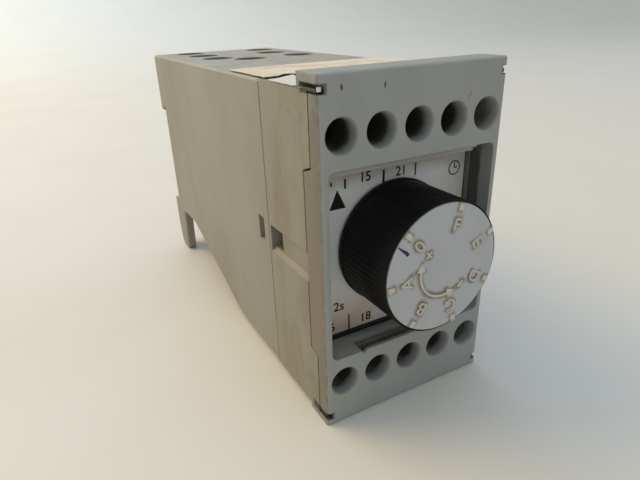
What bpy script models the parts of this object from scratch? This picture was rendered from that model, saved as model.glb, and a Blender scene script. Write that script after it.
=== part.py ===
"""A plug-in time relay for a 35 mm mounting rail, built as an assembly of separate pieces.

Run it with: blender --background --python part.py

The timer's own frame, used for every size below, starts at the lower left front corner of the
front cover: x runs to the right, y runs from the cover's face towards the rail, z runs up. One
empty carries all pieces, and moves that frame so that the world's origin is the centre of the
floor under the whole timer. Lengths are metres.
"""

import math

import bmesh
import bpy
from mathutils import Matrix, Vector

MM = 0.001
GAP = 0.3 * MM  # room left between two pieces that touch

# Overall sizes
WIDTH = 45.0 * MM
COVER_HEIGHT = 77.0 * MM
BODY_DEPTH = 123.0 * MM  # face of the cover to the back of the casing
BODY_BOTTOM = 1.5 * MM
BODY_TOP_INSET = 3.0 * MM  # the body's top lies this far below the cover's
WALL = 1.6 * MM
SEAM_Y = 26.0 * MM  # where the terminal block meets the rear casing

# Front cover
COVER_THICKNESS = 1.8 * MM
FLANGE_DEPTH = 3.6 * MM
FLANGE_MID_DEPTH = 6.5 * MM
FLANGE_MID_INSET = 0.8 * MM  # the deep part of a flange is this much shorter than the window at each end
FLANGE_SLANT = 1.0 * MM
LIP_DEPTH = 8.0 * MM
LIP_CLEARANCE = 0.4 * MM
SIDE_WALL = 1.7 * MM
EDGE_ROUND = 0.8 * MM
WINDOW_BRIDGE = 6.4 * MM  # from a row of screws to the window
WINDOW_CORNER = 1.5 * MM
WELL_WALL = 1.2 * MM
WELL_DEPTH = 7.7 * MM
NOTCH_WIDTH = 1.4 * MM
NOTCH_HEIGHT = 1.6 * MM
NOTCH_INSET = 2.6 * MM  # from the cover's top or bottom to the middle of a corner notch
NOTCH_BACK_Y = 6.6 * MM
PRY_SLOT_HALF = 13.2 * MM
PRY_SLOT_Y = (0.9 * MM, 4.6 * MM)
NICK_WIDTH = 1.2 * MM
NICK_DEPTH = 0.5 * MM
LEDGE_DROP = 0.8 * MM
LEDGE_Y = (1.2 * MM, 3.0 * MM)
LEDGE_SHORT = 3.8 * MM  # the ledge stops this far before the right side of the window

# Terminals: two rows of five
TERMINALS_PER_ROW = 5
TERMINAL_PITCH = 8.85 * MM
TERMINAL_INSET = 11.1 * MM  # from the cover's top or bottom to a row's screws
SCREW_HOLE_PLAY = 0.5 * MM
SCREW_HOLE_RIM = 0.4 * MM
CELL_SIDE = 0.6 * MM  # room beside a clamping plate
CELL_FRONT_Y = 8.9 * MM
CELL_ROOF = 4.3 * MM
WIRE_HALF_WIDTH = 2.8 * MM
WIRE_Y = (11.0 * MM, 17.6 * MM)
SCREW_HEAD_R = 2.7 * MM
SCREW_HEAD_LENGTH = 2.0 * MM
SCREW_HEAD_Y = 10.0 * MM
SCREW_SHANK_R = 1.5 * MM
SCREW_LENGTH = 9.5 * MM
SCREW_CHAMFER = 0.5 * MM
HEAD_ROUND = 0.3 * MM
SCREW_SLOT_WIDTH = 0.8 * MM
SCREW_SLOT_DEPTH = 1.0 * MM
CLAMP_HALF = 3.1 * MM
CLAMP_THICKNESS = 1.2 * MM
CLAMP_CORNER = 0.6 * MM
CONTACT_THICKNESS = 1.2 * MM
CONTACT_TAIL_HALF = 1.6 * MM

# Knob, its cap, and the potentiometer behind it
KNOB_R = 14.6 * MM
KNOB_FRONT_Y = -9.1 * MM
KNOB_BACK_Y = 7.4 * MM
KNOB_WALL = 1.5 * MM
KNOB_FLUTES = 48
KNOB_FLUTE_DEPTH = 0.3 * MM
KNOB_RIM = 0.9 * MM
KNOB_HUB_WALL = 1.5 * MM
KNOB_HUB_BACK_Y = 4.9 * MM
KNOB_WEB = 2.2 * MM
CAP_SIDE = 0.4 * MM  # black rim left round the cap
CAP_THICKNESS = 1.4 * MM
CAP_PROUD = 0.3 * MM
MARK_HEIGHT = 0.35 * MM
MARK_COUNT = 7
MARK_STEP = math.radians(50)
MARK_FIRST = math.radians(135)
MARK_WIDTH = 1.1 * MM
MARK_LENGTH = 1.4 * MM
SHAFT_R = 3.0 * MM
SHAFT_IN_KNOB = 9.5 * MM
SHAFT_FLAT = 0.8 * MM
BUSH_WALL = 1.5 * MM
BUSH_FRONT_Y = 5.6 * MM
NUT_WALL = 2.1 * MM
NUT_Y = (8.0 * MM, 10.2 * MM)
WASHER_WALL = 2.3 * MM
WASHER_THICKNESS = 0.6 * MM
POT_R = 8.5 * MM
POT_LENGTH = 8.0 * MM
POT_FLOOR = 2.0 * MM

# Plates and boards
PLATE_Y = 8.0 * MM
PLATE_THICKNESS = 0.8 * MM
BOARD = 1.6 * MM
POST_R = 2.0 * MM
POST_INSET = (4.6 * MM, 5.0 * MM)
WEB_Y = 23.5 * MM
WEB_OPENING_HALF = 14.0 * MM
TERMINAL_BOARD_GAP = 2.4 * MM  # behind the seam
TERMINAL_BOARD_INSET = (3.7 * MM, 6.1 * MM)
MAIN_BOARD_X = 8.0 * MM
MAIN_BOARD_ABOVE_FLOOR = 3.8 * MM
MAIN_BOARD_BELOW_TOP = 4.2 * MM
MAIN_BOARD_SHORT = 10.5 * MM
RIB = 0.8 * MM
RIB_LENGTH = (28.0 * MM, 11.0 * MM)  # upper and lower board guides

# Parts on the main board
TRANSFORMER_SIZE = (22.0 * MM, 32.0 * MM, 38.0 * MM)
TRANSFORMER_SHORT = 45.0 * MM  # its front is this far from the back of the casing
TRANSFORMER_DROP = 13.5 * MM
LIMB_HALF = 5.0 * MM
YOKE = 5.5 * MM
CORE_WINDOW = 5.5 * MM
WINDING_PROUD = 7.0 * MM
RELAY_SIZE = (16.0 * MM, 28.0 * MM, 26.0 * MM)
RELAY_DROP = 10.5 * MM
RELAY_BASE = 3.0 * MM
RELAY_SKIN = 0.9 * MM
COIL_R = 6.0 * MM
ARMATURE_ROOM = 2.7 * MM
ARMATURE_THICKNESS = 1.0 * MM
ARMATURE_SHORT = 4.0 * MM
ARMATURE_HALF = 5.0 * MM
CAN_R = 5.0 * MM
CAN_LENGTH = 17.0 * MM
CAN_RISE = (-2.5 * MM, 11.5 * MM)
CAN_GROOVE_AT = 13.0 * MM
GROOVE_WIDTH = 1.0 * MM
GROOVE_DEPTH = 0.5 * MM
FILM_SIZE = (12.0 * MM, 13.0 * MM, 7.0 * MM)
FILM_RISE = 20.0 * MM
FILM_CORNER = 0.8 * MM
CHIP_SIZE = (3.4 * MM, 19.8 * MM, 6.4 * MM)
CHIP_STAND = 1.0 * MM
CHIP_PINS = 8
CHIP_PITCH = 2.54 * MM
PIN_WIDTH = 0.5 * MM
PIN_THICKNESS = 0.4 * MM
RECTIFIER_R = 3.0 * MM
RECTIFIER_HEIGHT = 5.0 * MM
RECTIFIER_CORNER = 0.5 * MM
RESISTOR_R = 1.2 * MM
RESISTOR_LENGTH = 8.0 * MM
RESISTOR_RISE = (-14.3 * MM, -10.9 * MM)
LEAD_R = 0.35 * MM
LEAD_LENGTH = 2.0 * MM

# Side slot and snap
SLOT_DROP = 3.9 * MM  # the slot's lower edge is this far below the middle
SLOT_HEIGHT = 6.7 * MM
SLOT_DEPTH = 1.0 * MM
SLOT_BEVEL = 1.0 * MM
SLOT_END_WALL = 1.0 * MM
SLOT_DEEP_LENGTH = 4.3 * MM
SNAP_WINDOW_Y = (SEAM_Y + 2.9 * MM, SEAM_Y + 6.1 * MM)
SNAP_WINDOW_RISE = (-3.0 * MM, 3.2 * MM)
TONGUE = 1.2 * MM
BARB = 1.3 * MM

# Rear casing and rail clip
SLOPE_START_Y = 53.0 * MM
SLOPE_MID_SHORT = 41.0 * MM  # from the back of the casing to the bend in the underside
SLOPE_MID_Z = 12.0 * MM
FLOOR_WALL = 1.8 * MM
REAR_FLOOR_DROP = 3.6 * MM  # the rear of the underside lies this far below the rail
REAR_FLOOR_SHORT = 26.0 * MM
RAIL_WIDTH = 35.0 * MM
RAIL_PLAY = 0.4 * MM
RAIL_FLANGE = 1.5 * MM  # groove for the rail's 1 mm flange
HOOK_OVERLAP = 1.2 * MM
RECESS_DEPTH = 5.8 * MM
HOOK_RELIEF = 0.4 * MM  # the seat for the rail ends in a step this deep under the hook
LEG_WIDTH = 3.0 * MM
LEG_DEPTH = 11.4 * MM
HEEL = (3.4 * MM, 1.3 * MM, 2.8 * MM, 9.0 * MM)  # how the heel of a leg rounds off: y, y, z, z
CORNER = 1.2 * MM
LONG_EDGE = 0.5 * MM
VENT_R = 4.9 * MM
VENTS = (  # left of the centre line, and in front of the back
    (10.3 * MM, 36.0 * MM), (10.5 * MM, 21.5 * MM), (10.9 * MM, 7.4 * MM), (3.1 * MM, 45.4 * MM),
    (-14.3 * MM, 43.5 * MM), (-12.1 * MM, 26.5 * MM), (-14.7 * MM, 10.0 * MM),
)
LATCH_HALF_WIDTH = 14.0 * MM
LATCH_THICKNESS = 5.2 * MM
LATCH_NOSE = 1.1 * MM
LATCH_FOOT_Z = 1.0 * MM
LATCH_SHELF = 3.0 * MM
LATCH_SHELF_HALF = 5.0 * MM
DRIVER_SLOT_HALF = 3.5 * MM
DRIVER_SLOT = (1.6 * MM, 2.2 * MM, 5.0 * MM)  # wall in front of it, its width, its depth
SPRING_R = 2.4 * MM
SPRING_WIRE_R = 0.35 * MM
SPRING_TURNS = 7
SPRING_STEPS = 14
SPRING_FORWARD = 9.8 * MM  # in front of the rail recess
PEG_R = 1.4 * MM
PEG_LENGTH = 2.2 * MM

# Paper label on top
LABEL_Y = (18.4 * MM, 46.0 * MM)
LABEL_INSET = 1.4 * MM
LABEL_THICKNESS = 0.3 * MM
LABEL_GAP = 0.2 * MM

# Places worked out from the sizes above
CENTRE_X = WIDTH / 2
MIDDLE_Z = COVER_HEIGHT / 2
BODY_TOP = COVER_HEIGHT - BODY_TOP_INSET
BLOCK_FRONT_Y = FLANGE_DEPTH + GAP
BLOCK_BACK_Y = SEAM_Y - GAP / 2
CASING_FRONT_Y = SEAM_Y + GAP / 2
TERMINAL_RISE = MIDDLE_Z - TERMINAL_INSET
WINDOW_HALF_HEIGHT = TERMINAL_RISE - WINDOW_BRIDGE
FLANGE_MID_HALF = WINDOW_HALF_HEIGHT - FLANGE_MID_INSET
BANK_INNER_RISE = WINDOW_HALF_HEIGHT + WELL_WALL + GAP
NOTCH_HALF_SPAN = MIDDLE_Z - NOTCH_INSET
SCREW_HOLE_R = SCREW_HEAD_R + SCREW_HOLE_PLAY
COLLAR_R = TERMINAL_PITCH / 2 - GAP
CELL_HALF_WIDTH = CLAMP_HALF + CELL_SIDE
CELL_RISE = (TERMINAL_RISE - CELL_HALF_WIDTH - GAP / 2, TERMINAL_RISE + CELL_ROOF)
SLOT_Z = (MIDDLE_Z - SLOT_DROP, MIDDLE_Z - SLOT_DROP + SLOT_HEIGHT)
SLOT_END_Y = SEAM_Y - SLOT_END_WALL
SLOT_DEEP_Y = SLOT_END_Y - SLOT_DEEP_LENGTH
SNAP_WINDOW_Z = (MIDDLE_Z + SNAP_WINDOW_RISE[0], MIDDLE_Z + SNAP_WINDOW_RISE[1])
RECESS_Y = BODY_DEPTH - RECESS_DEPTH
RAIL_LOW_Z = MIDDLE_Z - (RAIL_WIDTH + RAIL_PLAY) / 2
RAIL_HIGH_Z = RAIL_LOW_Z + RAIL_WIDTH + RAIL_PLAY
REAR_FLOOR_Z = RAIL_LOW_Z - REAR_FLOOR_DROP
REAR_FLOOR_Y = BODY_DEPTH - REAR_FLOOR_SHORT
LEG_FRONT_Y = BODY_DEPTH - LEG_DEPTH
SPRING_Y = RECESS_Y - SPRING_FORWARD
CLAMP_Y = SCREW_HEAD_Y + SCREW_HEAD_LENGTH + GAP
CONTACT_Y = CLAMP_Y + CLAMP_THICKNESS + GAP
CAP_R = KNOB_R - KNOB_FLUTE_DEPTH - CAP_SIDE
CAP_FACE_Y = KNOB_FRONT_Y - CAP_PROUD
POCKET_Y = CAP_FACE_Y + CAP_THICKNESS + GAP
KNOB_HUB_R = SHAFT_R + GAP + KNOB_HUB_WALL
SHAFT_FRONT_Y = KNOB_HUB_BACK_Y - SHAFT_IN_KNOB
BUSH_R = SHAFT_R + GAP + BUSH_WALL
NUT_R = BUSH_R + GAP + NUT_WALL
WASHER_R = BUSH_R + GAP + WASHER_WALL
WASHER_Y = NUT_Y[1] + GAP
PLATE_HOLE_R = NUT_R + 4 * GAP
FRONT_BOARD_Y = WASHER_Y + WASHER_THICKNESS + GAP
POT_Y = FRONT_BOARD_Y + BOARD + GAP
TERMINAL_BOARD_Y = SEAM_Y + TERMINAL_BOARD_GAP
COMPONENT_X = MAIN_BOARD_X + BOARD + GAP
MAIN_BOARD_Y = TERMINAL_BOARD_Y + BOARD + GAP
MAIN_BOARD_END_Y = BODY_DEPTH - MAIN_BOARD_SHORT
RELAY_Y = MAIN_BOARD_Y + 9 * GAP
TRANSFORMER_Y = BODY_DEPTH - TRANSFORMER_SHORT
SMALL_PARTS_Y = TRANSFORMER_Y - 2 * CAN_R
MAIN_BOARD_Z = (REAR_FLOOR_Z + MAIN_BOARD_ABOVE_FLOOR, BODY_TOP - MAIN_BOARD_BELOW_TOP)


# ---------------------------------------------------------------- helpers

def clear_scene():
    """Remove every object that the scene starts with."""
    for obj in list(bpy.data.objects):
        bpy.data.objects.remove(obj, do_unlink=True)


def finish(name, colour, roughness, metallic=0.0):
    """Return a Principled material with one colour."""
    material = bpy.data.materials.new(name)
    material.use_nodes = True
    shader = material.node_tree.nodes["Principled BSDF"]
    shader.inputs["Base Color"].default_value = (*colour, 1.0)
    shader.inputs["Roughness"].default_value = roughness
    shader.inputs["Metallic"].default_value = metallic
    return material


def block(low, high):
    """A box between two corners, as a bmesh."""
    shape = bmesh.new()
    size = [b - a for a, b in zip(low, high)]
    middle = [(a + b) / 2 for a, b in zip(low, high)]
    bmesh.ops.create_cube(shape, size=1.0, matrix=Matrix.Translation(middle) @ Matrix.Diagonal((*size, 1.0)))
    return shape


def prism(outline, axis, start, end):
    """A flat outline drawn across one axis and pushed along it, as a bmesh."""
    orders = {"X": lambda a, b, c: (c, a, b), "Y": lambda a, b, c: (a, c, b), "Z": lambda a, b, c: (a, b, c)}
    order = orders[axis]
    shape = bmesh.new()
    face = shape.faces.new([shape.verts.new(order(a, b, start)) for a, b in outline])
    pushed = bmesh.ops.extrude_face_region(shape, geom=[face])
    along = Vector(order(0, 0, end - start))
    far_end = [v for v in pushed["geom"] if isinstance(v, bmesh.types.BMVert)]
    bmesh.ops.translate(shape, vec=along, verts=far_end)
    bmesh.ops.recalc_face_normals(shape, faces=shape.faces)
    return shape


def circle(radius, centre=(0.0, 0.0), sides=24, first=0.0):
    """Points round a circle."""
    turn = 2 * math.pi / sides
    return [(centre[0] + radius * math.cos(first + i * turn), centre[1] + radius * math.sin(first + i * turn))
            for i in range(sides)]


def rod(axis, centre, radius, start, end, sides=24):
    """A round bar along an axis, centred on the two other coordinates."""
    return prism(circle(radius, centre, sides, math.pi / sides), axis, start, end)


def rounded(low, high, radius, steps=4):
    """A rectangle's outline with round corners."""
    corners = ((high[0] - radius, high[1] - radius, 0), (low[0] + radius, high[1] - radius, 1),
               (low[0] + radius, low[1] + radius, 2), (high[0] - radius, low[1] + radius, 3))
    return [(x + radius * math.cos((quarter + i / steps) * math.pi / 2),
             y + radius * math.sin((quarter + i / steps) * math.pi / 2))
            for x, y, quarter in corners for i in range(steps + 1)]


def turned(profile, centre, steps):
    """A closed profile of (radius, y) points turned about a line along y, as a bmesh."""
    shape = bmesh.new()
    x, z = centre
    edges = []
    points = [shape.verts.new((x + radius, y, z)) for radius, y in profile]
    for a, b in zip(points, points[1:] + points[:1]):
        edges.append(shape.edges.new((a, b)))
    bmesh.ops.spin(shape, geom=edges + points, cent=(x, 0, z), axis=(0, 1, 0), angle=2 * math.pi, steps=steps,
                   use_merge=False, use_duplicate=False)
    bmesh.ops.remove_doubles(shape, verts=shape.verts, dist=0.001 * MM)
    bmesh.ops.recalc_face_normals(shape, faces=shape.faces)
    return shape


def together(*shapes):
    """Several separate shapes in one bmesh, for use as one cutter."""
    whole = bmesh.new()
    for shape in shapes:
        mesh = bpy.data.meshes.new("shape")
        shape.to_mesh(mesh)
        shape.free()
        whole.from_mesh(mesh)
        bpy.data.meshes.remove(mesh)
    return whole


def soften(shape, wanted, offset, segments=2):
    """Round off the edges that a test on both ends picks."""
    edges = [edge for edge in shape.edges if wanted(edge.verts[0].co, edge.verts[1].co)]
    bmesh.ops.bevel(shape, geom=edges, offset=offset, segments=segments, profile=0.5, affect="EDGES",
                    clamp_overlap=True)
    return shape


class Assembly:
    """Makes objects under one empty that carries the timer's frame."""

    def __init__(self, origin):
        self.frame = bpy.data.objects.new("timer", None)
        self.frame.location = origin
        bpy.context.scene.collection.objects.link(self.frame)

    def add(self, name, shape, material=None, origin=(0.0, 0.0, 0.0), smooth=False):
        """Add a piece. Its shape is given in the timer's frame, and its own origin at a chosen point."""
        mesh = bpy.data.meshes.new(name)
        bmesh.ops.translate(shape, vec=-Vector(origin), verts=shape.verts)
        shape.to_mesh(mesh)
        shape.free()
        if smooth:
            mesh.shade_smooth()
            mesh.set_sharp_from_angle(angle=math.radians(35))
        if material:
            mesh.materials.append(material)
        piece = bpy.data.objects.new(name, mesh)
        piece.parent = self.frame
        piece.location = origin
        bpy.context.scene.collection.objects.link(piece)
        return piece

    def _boolean(self, piece, name, shape, operation):
        tool = self.add(f"{piece.name}_{name}", shape)
        tool.hide_render = True
        tool.display_type = "WIRE"
        modifier = piece.modifiers.new(name, "BOOLEAN")
        modifier.operation = operation
        modifier.solver = "EXACT"
        modifier.object = tool

    def cut(self, piece, name, *shapes):
        """Take shapes that don't touch each other away from a piece."""
        self._boolean(piece, name, together(*shapes), "DIFFERENCE")

    def join(self, piece, name, *shapes):
        """Join shapes that don't touch each other to a piece."""
        self._boolean(piece, name, together(*shapes), "UNION")


def terminal_places():
    """Number, x and side (+1 for the upper row, -1 for the lower) of each terminal."""
    number = 0
    for side in (1, -1):
        for column in range(TERMINALS_PER_ROW):
            number += 1
            yield number, CENTRE_X + (column - (TERMINALS_PER_ROW - 1) / 2) * TERMINAL_PITCH, side


def rise(side, low, high):
    """Turn two distances from the middle height into low and high z, on the upper or the lower side."""
    return sorted((MIDDLE_Z + side * low, MIDDLE_Z + side * high))


# ---------------------------------------------------------------- housing

def make_front_cover(timer, material):
    """The front cover: a thin face with flanges, lips, a window well and ten screw holes."""
    mid_low, mid_high = MIDDLE_Z - FLANGE_MID_HALF, MIDDLE_Z + FLANGE_MID_HALF
    lip_low, lip_high = BODY_BOTTOM - GAP, BODY_TOP + LIP_CLEARANCE
    side_view = [
        (0, 0), (LIP_DEPTH, 0), (LIP_DEPTH, lip_low), (FLANGE_DEPTH, lip_low),
        (FLANGE_DEPTH, mid_low - FLANGE_SLANT), (FLANGE_MID_DEPTH, mid_low),
        (FLANGE_MID_DEPTH, mid_high), (FLANGE_DEPTH, mid_high + FLANGE_SLANT),
        (FLANGE_DEPTH, lip_high), (LIP_DEPTH, lip_high), (LIP_DEPTH, COVER_HEIGHT), (0, COVER_HEIGHT),
    ]
    shape = prism(side_view, "X", 0, WIDTH)
    soften(shape, lambda a, b: a.y < MM / 2 and b.y < MM / 2, EDGE_ROUND)
    cover = timer.add("front_cover", shape, material)
    inner = (SIDE_WALL, WIDTH - SIDE_WALL)
    timer.cut(cover, "hollow", block(
        (inner[0], COVER_THICKNESS, lip_low), (inner[1], LIP_DEPTH + MM, lip_high)))
    timer.join(cover, "well", *[
        block((inner[0] + GAP, COVER_THICKNESS - MM / 2, low), (inner[1] - GAP, WELL_DEPTH, high))
        for low, high in (rise(side, WINDOW_HALF_HEIGHT, WINDOW_HALF_HEIGHT + WELL_WALL) for side in (1, -1))])
    centres = [(x, MIDDLE_Z + side * TERMINAL_RISE) for _, x, side in terminal_places()]
    timer.join(cover, "collars",
               *[rod("Y", centre, COLLAR_R, COVER_THICKNESS - MM / 2, FLANGE_DEPTH, 20) for centre in centres])
    timer.cut(cover, "window", prism(
        rounded((SIDE_WALL, MIDDLE_Z - WINDOW_HALF_HEIGHT), (WIDTH - SIDE_WALL, MIDDLE_Z + WINDOW_HALF_HEIGHT),
                WINDOW_CORNER), "Y", -MM, FLANGE_DEPTH))
    timer.cut(cover, "screw_holes", *[
        turned([(0.0, -MM), (SCREW_HOLE_R + SCREW_HOLE_RIM + MM / 2, -MM),
                (SCREW_HOLE_R + SCREW_HOLE_RIM, 0.0), (SCREW_HOLE_R, 2 * SCREW_HOLE_RIM),
                (SCREW_HOLE_R, FLANGE_DEPTH + MM), (0.0, FLANGE_DEPTH + MM)],
               centre, 24) for centre in centres])
    notches = []
    for side in (1, -1):
        low, high = rise(side, NOTCH_HALF_SPAN - NOTCH_HEIGHT / 2, NOTCH_HALF_SPAN + NOTCH_HEIGHT / 2)
        notches.append(block((-MM, -MM, low), (NOTCH_WIDTH, NOTCH_BACK_Y, high)))
        notches.append(block((WIDTH - NOTCH_WIDTH, -MM, low), (WIDTH + MM, NOTCH_BACK_Y, high)))
    timer.cut(cover, "notches", *notches)
    sill, left = MIDDLE_Z - WINDOW_HALF_HEIGHT, CENTRE_X - PRY_SLOT_HALF
    timer.cut(cover, "pry_slot", block((left, PRY_SLOT_Y[0], sill - 2 * WELL_WALL),
                                       (CENTRE_X + PRY_SLOT_HALF, PRY_SLOT_Y[1], sill + MM)))
    timer.cut(cover, "pry_nick", block((left, -MM, sill - NICK_DEPTH), (left + NICK_WIDTH, MM, sill + MM)))
    head = MIDDLE_Z + WINDOW_HALF_HEIGHT
    timer.join(cover, "ledge", block((SIDE_WALL - MM, LEDGE_Y[0], head - LEDGE_DROP),
                                     (WIDTH - SIDE_WALL - LEDGE_SHORT, LEDGE_Y[1], head + WELL_WALL / 2)))


def make_terminal_block(timer, material):
    """The front section: two banks of terminal cells joined by side walls and a web."""
    mid_low, mid_high = MIDDLE_Z - FLANGE_MID_HALF - GAP, MIDDLE_Z + FLANGE_MID_HALF + GAP
    step_y = FLANGE_MID_DEPTH + GAP
    side_view = [
        (BLOCK_FRONT_Y, BODY_BOTTOM), (BLOCK_BACK_Y, BODY_BOTTOM), (BLOCK_BACK_Y, BODY_TOP),
        (BLOCK_FRONT_Y, BODY_TOP), (BLOCK_FRONT_Y, mid_high + FLANGE_SLANT), (step_y, mid_high),
        (step_y, mid_low), (BLOCK_FRONT_Y, mid_low - FLANGE_SLANT),
    ]
    shape = prism(side_view, "X", 0, WIDTH)
    piece = timer.add("terminal_block", shape, material)
    timer.cut(piece, "middle", block(
        (SIDE_WALL, 0, MIDDLE_Z - BANK_INNER_RISE), (WIDTH - SIDE_WALL, WEB_Y, MIDDLE_Z + BANK_INNER_RISE)))
    timer.cut(piece, "web_opening", block(
        (CENTRE_X - WEB_OPENING_HALF, WEB_Y - MM, MIDDLE_Z - WEB_OPENING_HALF),
        (CENTRE_X + WEB_OPENING_HALF, SEAM_Y, MIDDLE_Z + WEB_OPENING_HALF)))
    cells, bores, entries = [], [], []
    for _, x, side in terminal_places():
        low, high = rise(side, *CELL_RISE)
        cells.append(block((x - CELL_HALF_WIDTH, CELL_FRONT_Y, low), (x + CELL_HALF_WIDTH, SEAM_Y + MM, high)))
        bores.append(rod("Y", (x, MIDDLE_Z + side * TERMINAL_RISE), SCREW_HOLE_R, 0, CELL_FRONT_Y + MM))
        low, high = rise(side, CELL_RISE[1] - MM, COVER_HEIGHT / 2 + MM)
        entries.append(block((x - WIRE_HALF_WIDTH, WIRE_Y[0], low), (x + WIRE_HALF_WIDTH, WIRE_Y[1], high)))
    timer.cut(piece, "cells", *cells)
    timer.cut(piece, "bores", *bores)
    timer.cut(piece, "wire_entries", *entries)
    post_x = (POST_INSET[0], WIDTH - POST_INSET[0])
    post_z = rise(1, -(BANK_INNER_RISE - POST_INSET[1]), BANK_INNER_RISE - POST_INSET[1])
    places = [(x, z) for x in post_x for z in post_z]
    timer.join(piece, "posts", *[rod("Y", place, POST_R, POT_Y, WEB_Y + MM, 12) for place in places])
    for name, mirror in (("left", lambda x: x), ("right", lambda x: WIDTH - x)):
        slot = prism([
            (mirror(-SLOT_DEPTH / 2), SLOT_Z[0] - SLOT_BEVEL / 2), (mirror(SLOT_DEPTH), SLOT_Z[0] + SLOT_BEVEL),
            (mirror(SLOT_DEPTH), SLOT_Z[1]), (mirror(-SLOT_DEPTH / 2), SLOT_Z[1])], "Y", 0, SLOT_END_Y)
        timer.cut(piece, f"{name}_slot", slot)
        ends = sorted((mirror(-MM), mirror(SIDE_WALL + GAP + TONGUE)))
        timer.cut(piece, f"{name}_slot_end", block((ends[0], SLOT_DEEP_Y, SLOT_Z[0] + SLOT_BEVEL),
                                                   (ends[1], SLOT_END_Y, SLOT_Z[1])))
        inner = SIDE_WALL + GAP
        tongue = [
            (mirror(inner), BLOCK_BACK_Y - MM / 2), (mirror(inner), SNAP_WINDOW_Y[0] + GAP),
            (mirror(inner - BARB), SNAP_WINDOW_Y[0] + GAP),
            (mirror(inner - BARB), SNAP_WINDOW_Y[0] + 4 * GAP),
            (mirror(inner), SNAP_WINDOW_Y[1] - GAP), (mirror(inner), SNAP_WINDOW_Y[1] + MM),
            (mirror(inner + TONGUE), SNAP_WINDOW_Y[1] + MM),
            (mirror(inner + TONGUE), BLOCK_BACK_Y - MM / 2)]
        timer.join(piece, f"{name}_tongue", prism(tongue, "Z", SNAP_WINDOW_Z[0] + GAP, SNAP_WINDOW_Z[1] - GAP))
        ends = sorted((mirror(GAP / 2), mirror(NOTCH_WIDTH - GAP / 2)))
        inner_rise = NOTCH_HALF_SPAN - NOTCH_HEIGHT / 2 + GAP / 2
        outer_rise = NOTCH_HALF_SPAN + NOTCH_HEIGHT / 4 - GAP
        for side, level in ((1, "upper"), (-1, "lower")):
            root_rise = inner_rise - NOTCH_HEIGHT / 2
            prong = [
                (EDGE_ROUND, inner_rise), (BLOCK_FRONT_Y, inner_rise), (BLOCK_FRONT_Y, root_rise),
                (NOTCH_BACK_Y - GAP, root_rise), (NOTCH_BACK_Y - GAP, outer_rise), (EDGE_ROUND, outer_rise)]
            outline = [(y, MIDDLE_Z + side * height) for y, height in prong]
            timer.join(piece, f"{name}_{level}_prong", prism(outline, "X", *ends))


def casing_side_view():
    """The outer outline of the rear casing, seen from the side, as (y, z) points."""
    hook_tip = RAIL_HIGH_Z - HOOK_OVERLAP
    groove_y = RECESS_Y + RAIL_FLANGE
    leg_top = RAIL_LOW_Z - 2 * GAP
    return [
        (CASING_FRONT_Y, BODY_BOTTOM), (SLOPE_START_Y, BODY_BOTTOM),
        (BODY_DEPTH - SLOPE_MID_SHORT, SLOPE_MID_Z), (REAR_FLOOR_Y, REAR_FLOOR_Z),
        (LEG_FRONT_Y - CORNER, REAR_FLOOR_Z), (LEG_FRONT_Y, REAR_FLOOR_Z - CORNER),
        (LEG_FRONT_Y + CORNER, CORNER), (LEG_FRONT_Y + 2 * CORNER, 0.0), (BODY_DEPTH - HEEL[0], 0.0),
        (BODY_DEPTH - HEEL[1], HEEL[2]), (BODY_DEPTH, HEEL[3]), (BODY_DEPTH, leg_top - CORNER / 2),
        (BODY_DEPTH - CORNER / 2, leg_top), (RECESS_Y, leg_top), (RECESS_Y, hook_tip - HOOK_RELIEF),
        (RECESS_Y - HOOK_RELIEF, hook_tip), (RECESS_Y - HOOK_RELIEF, RAIL_HIGH_Z), (groove_y, RAIL_HIGH_Z),
        (groove_y, hook_tip), (BODY_DEPTH - CORNER / 2, hook_tip), (BODY_DEPTH, hook_tip + CORNER / 2),
        (BODY_DEPTH, BODY_TOP - CORNER), (BODY_DEPTH - CORNER, BODY_TOP), (CASING_FRONT_Y, BODY_TOP),
    ]


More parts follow.
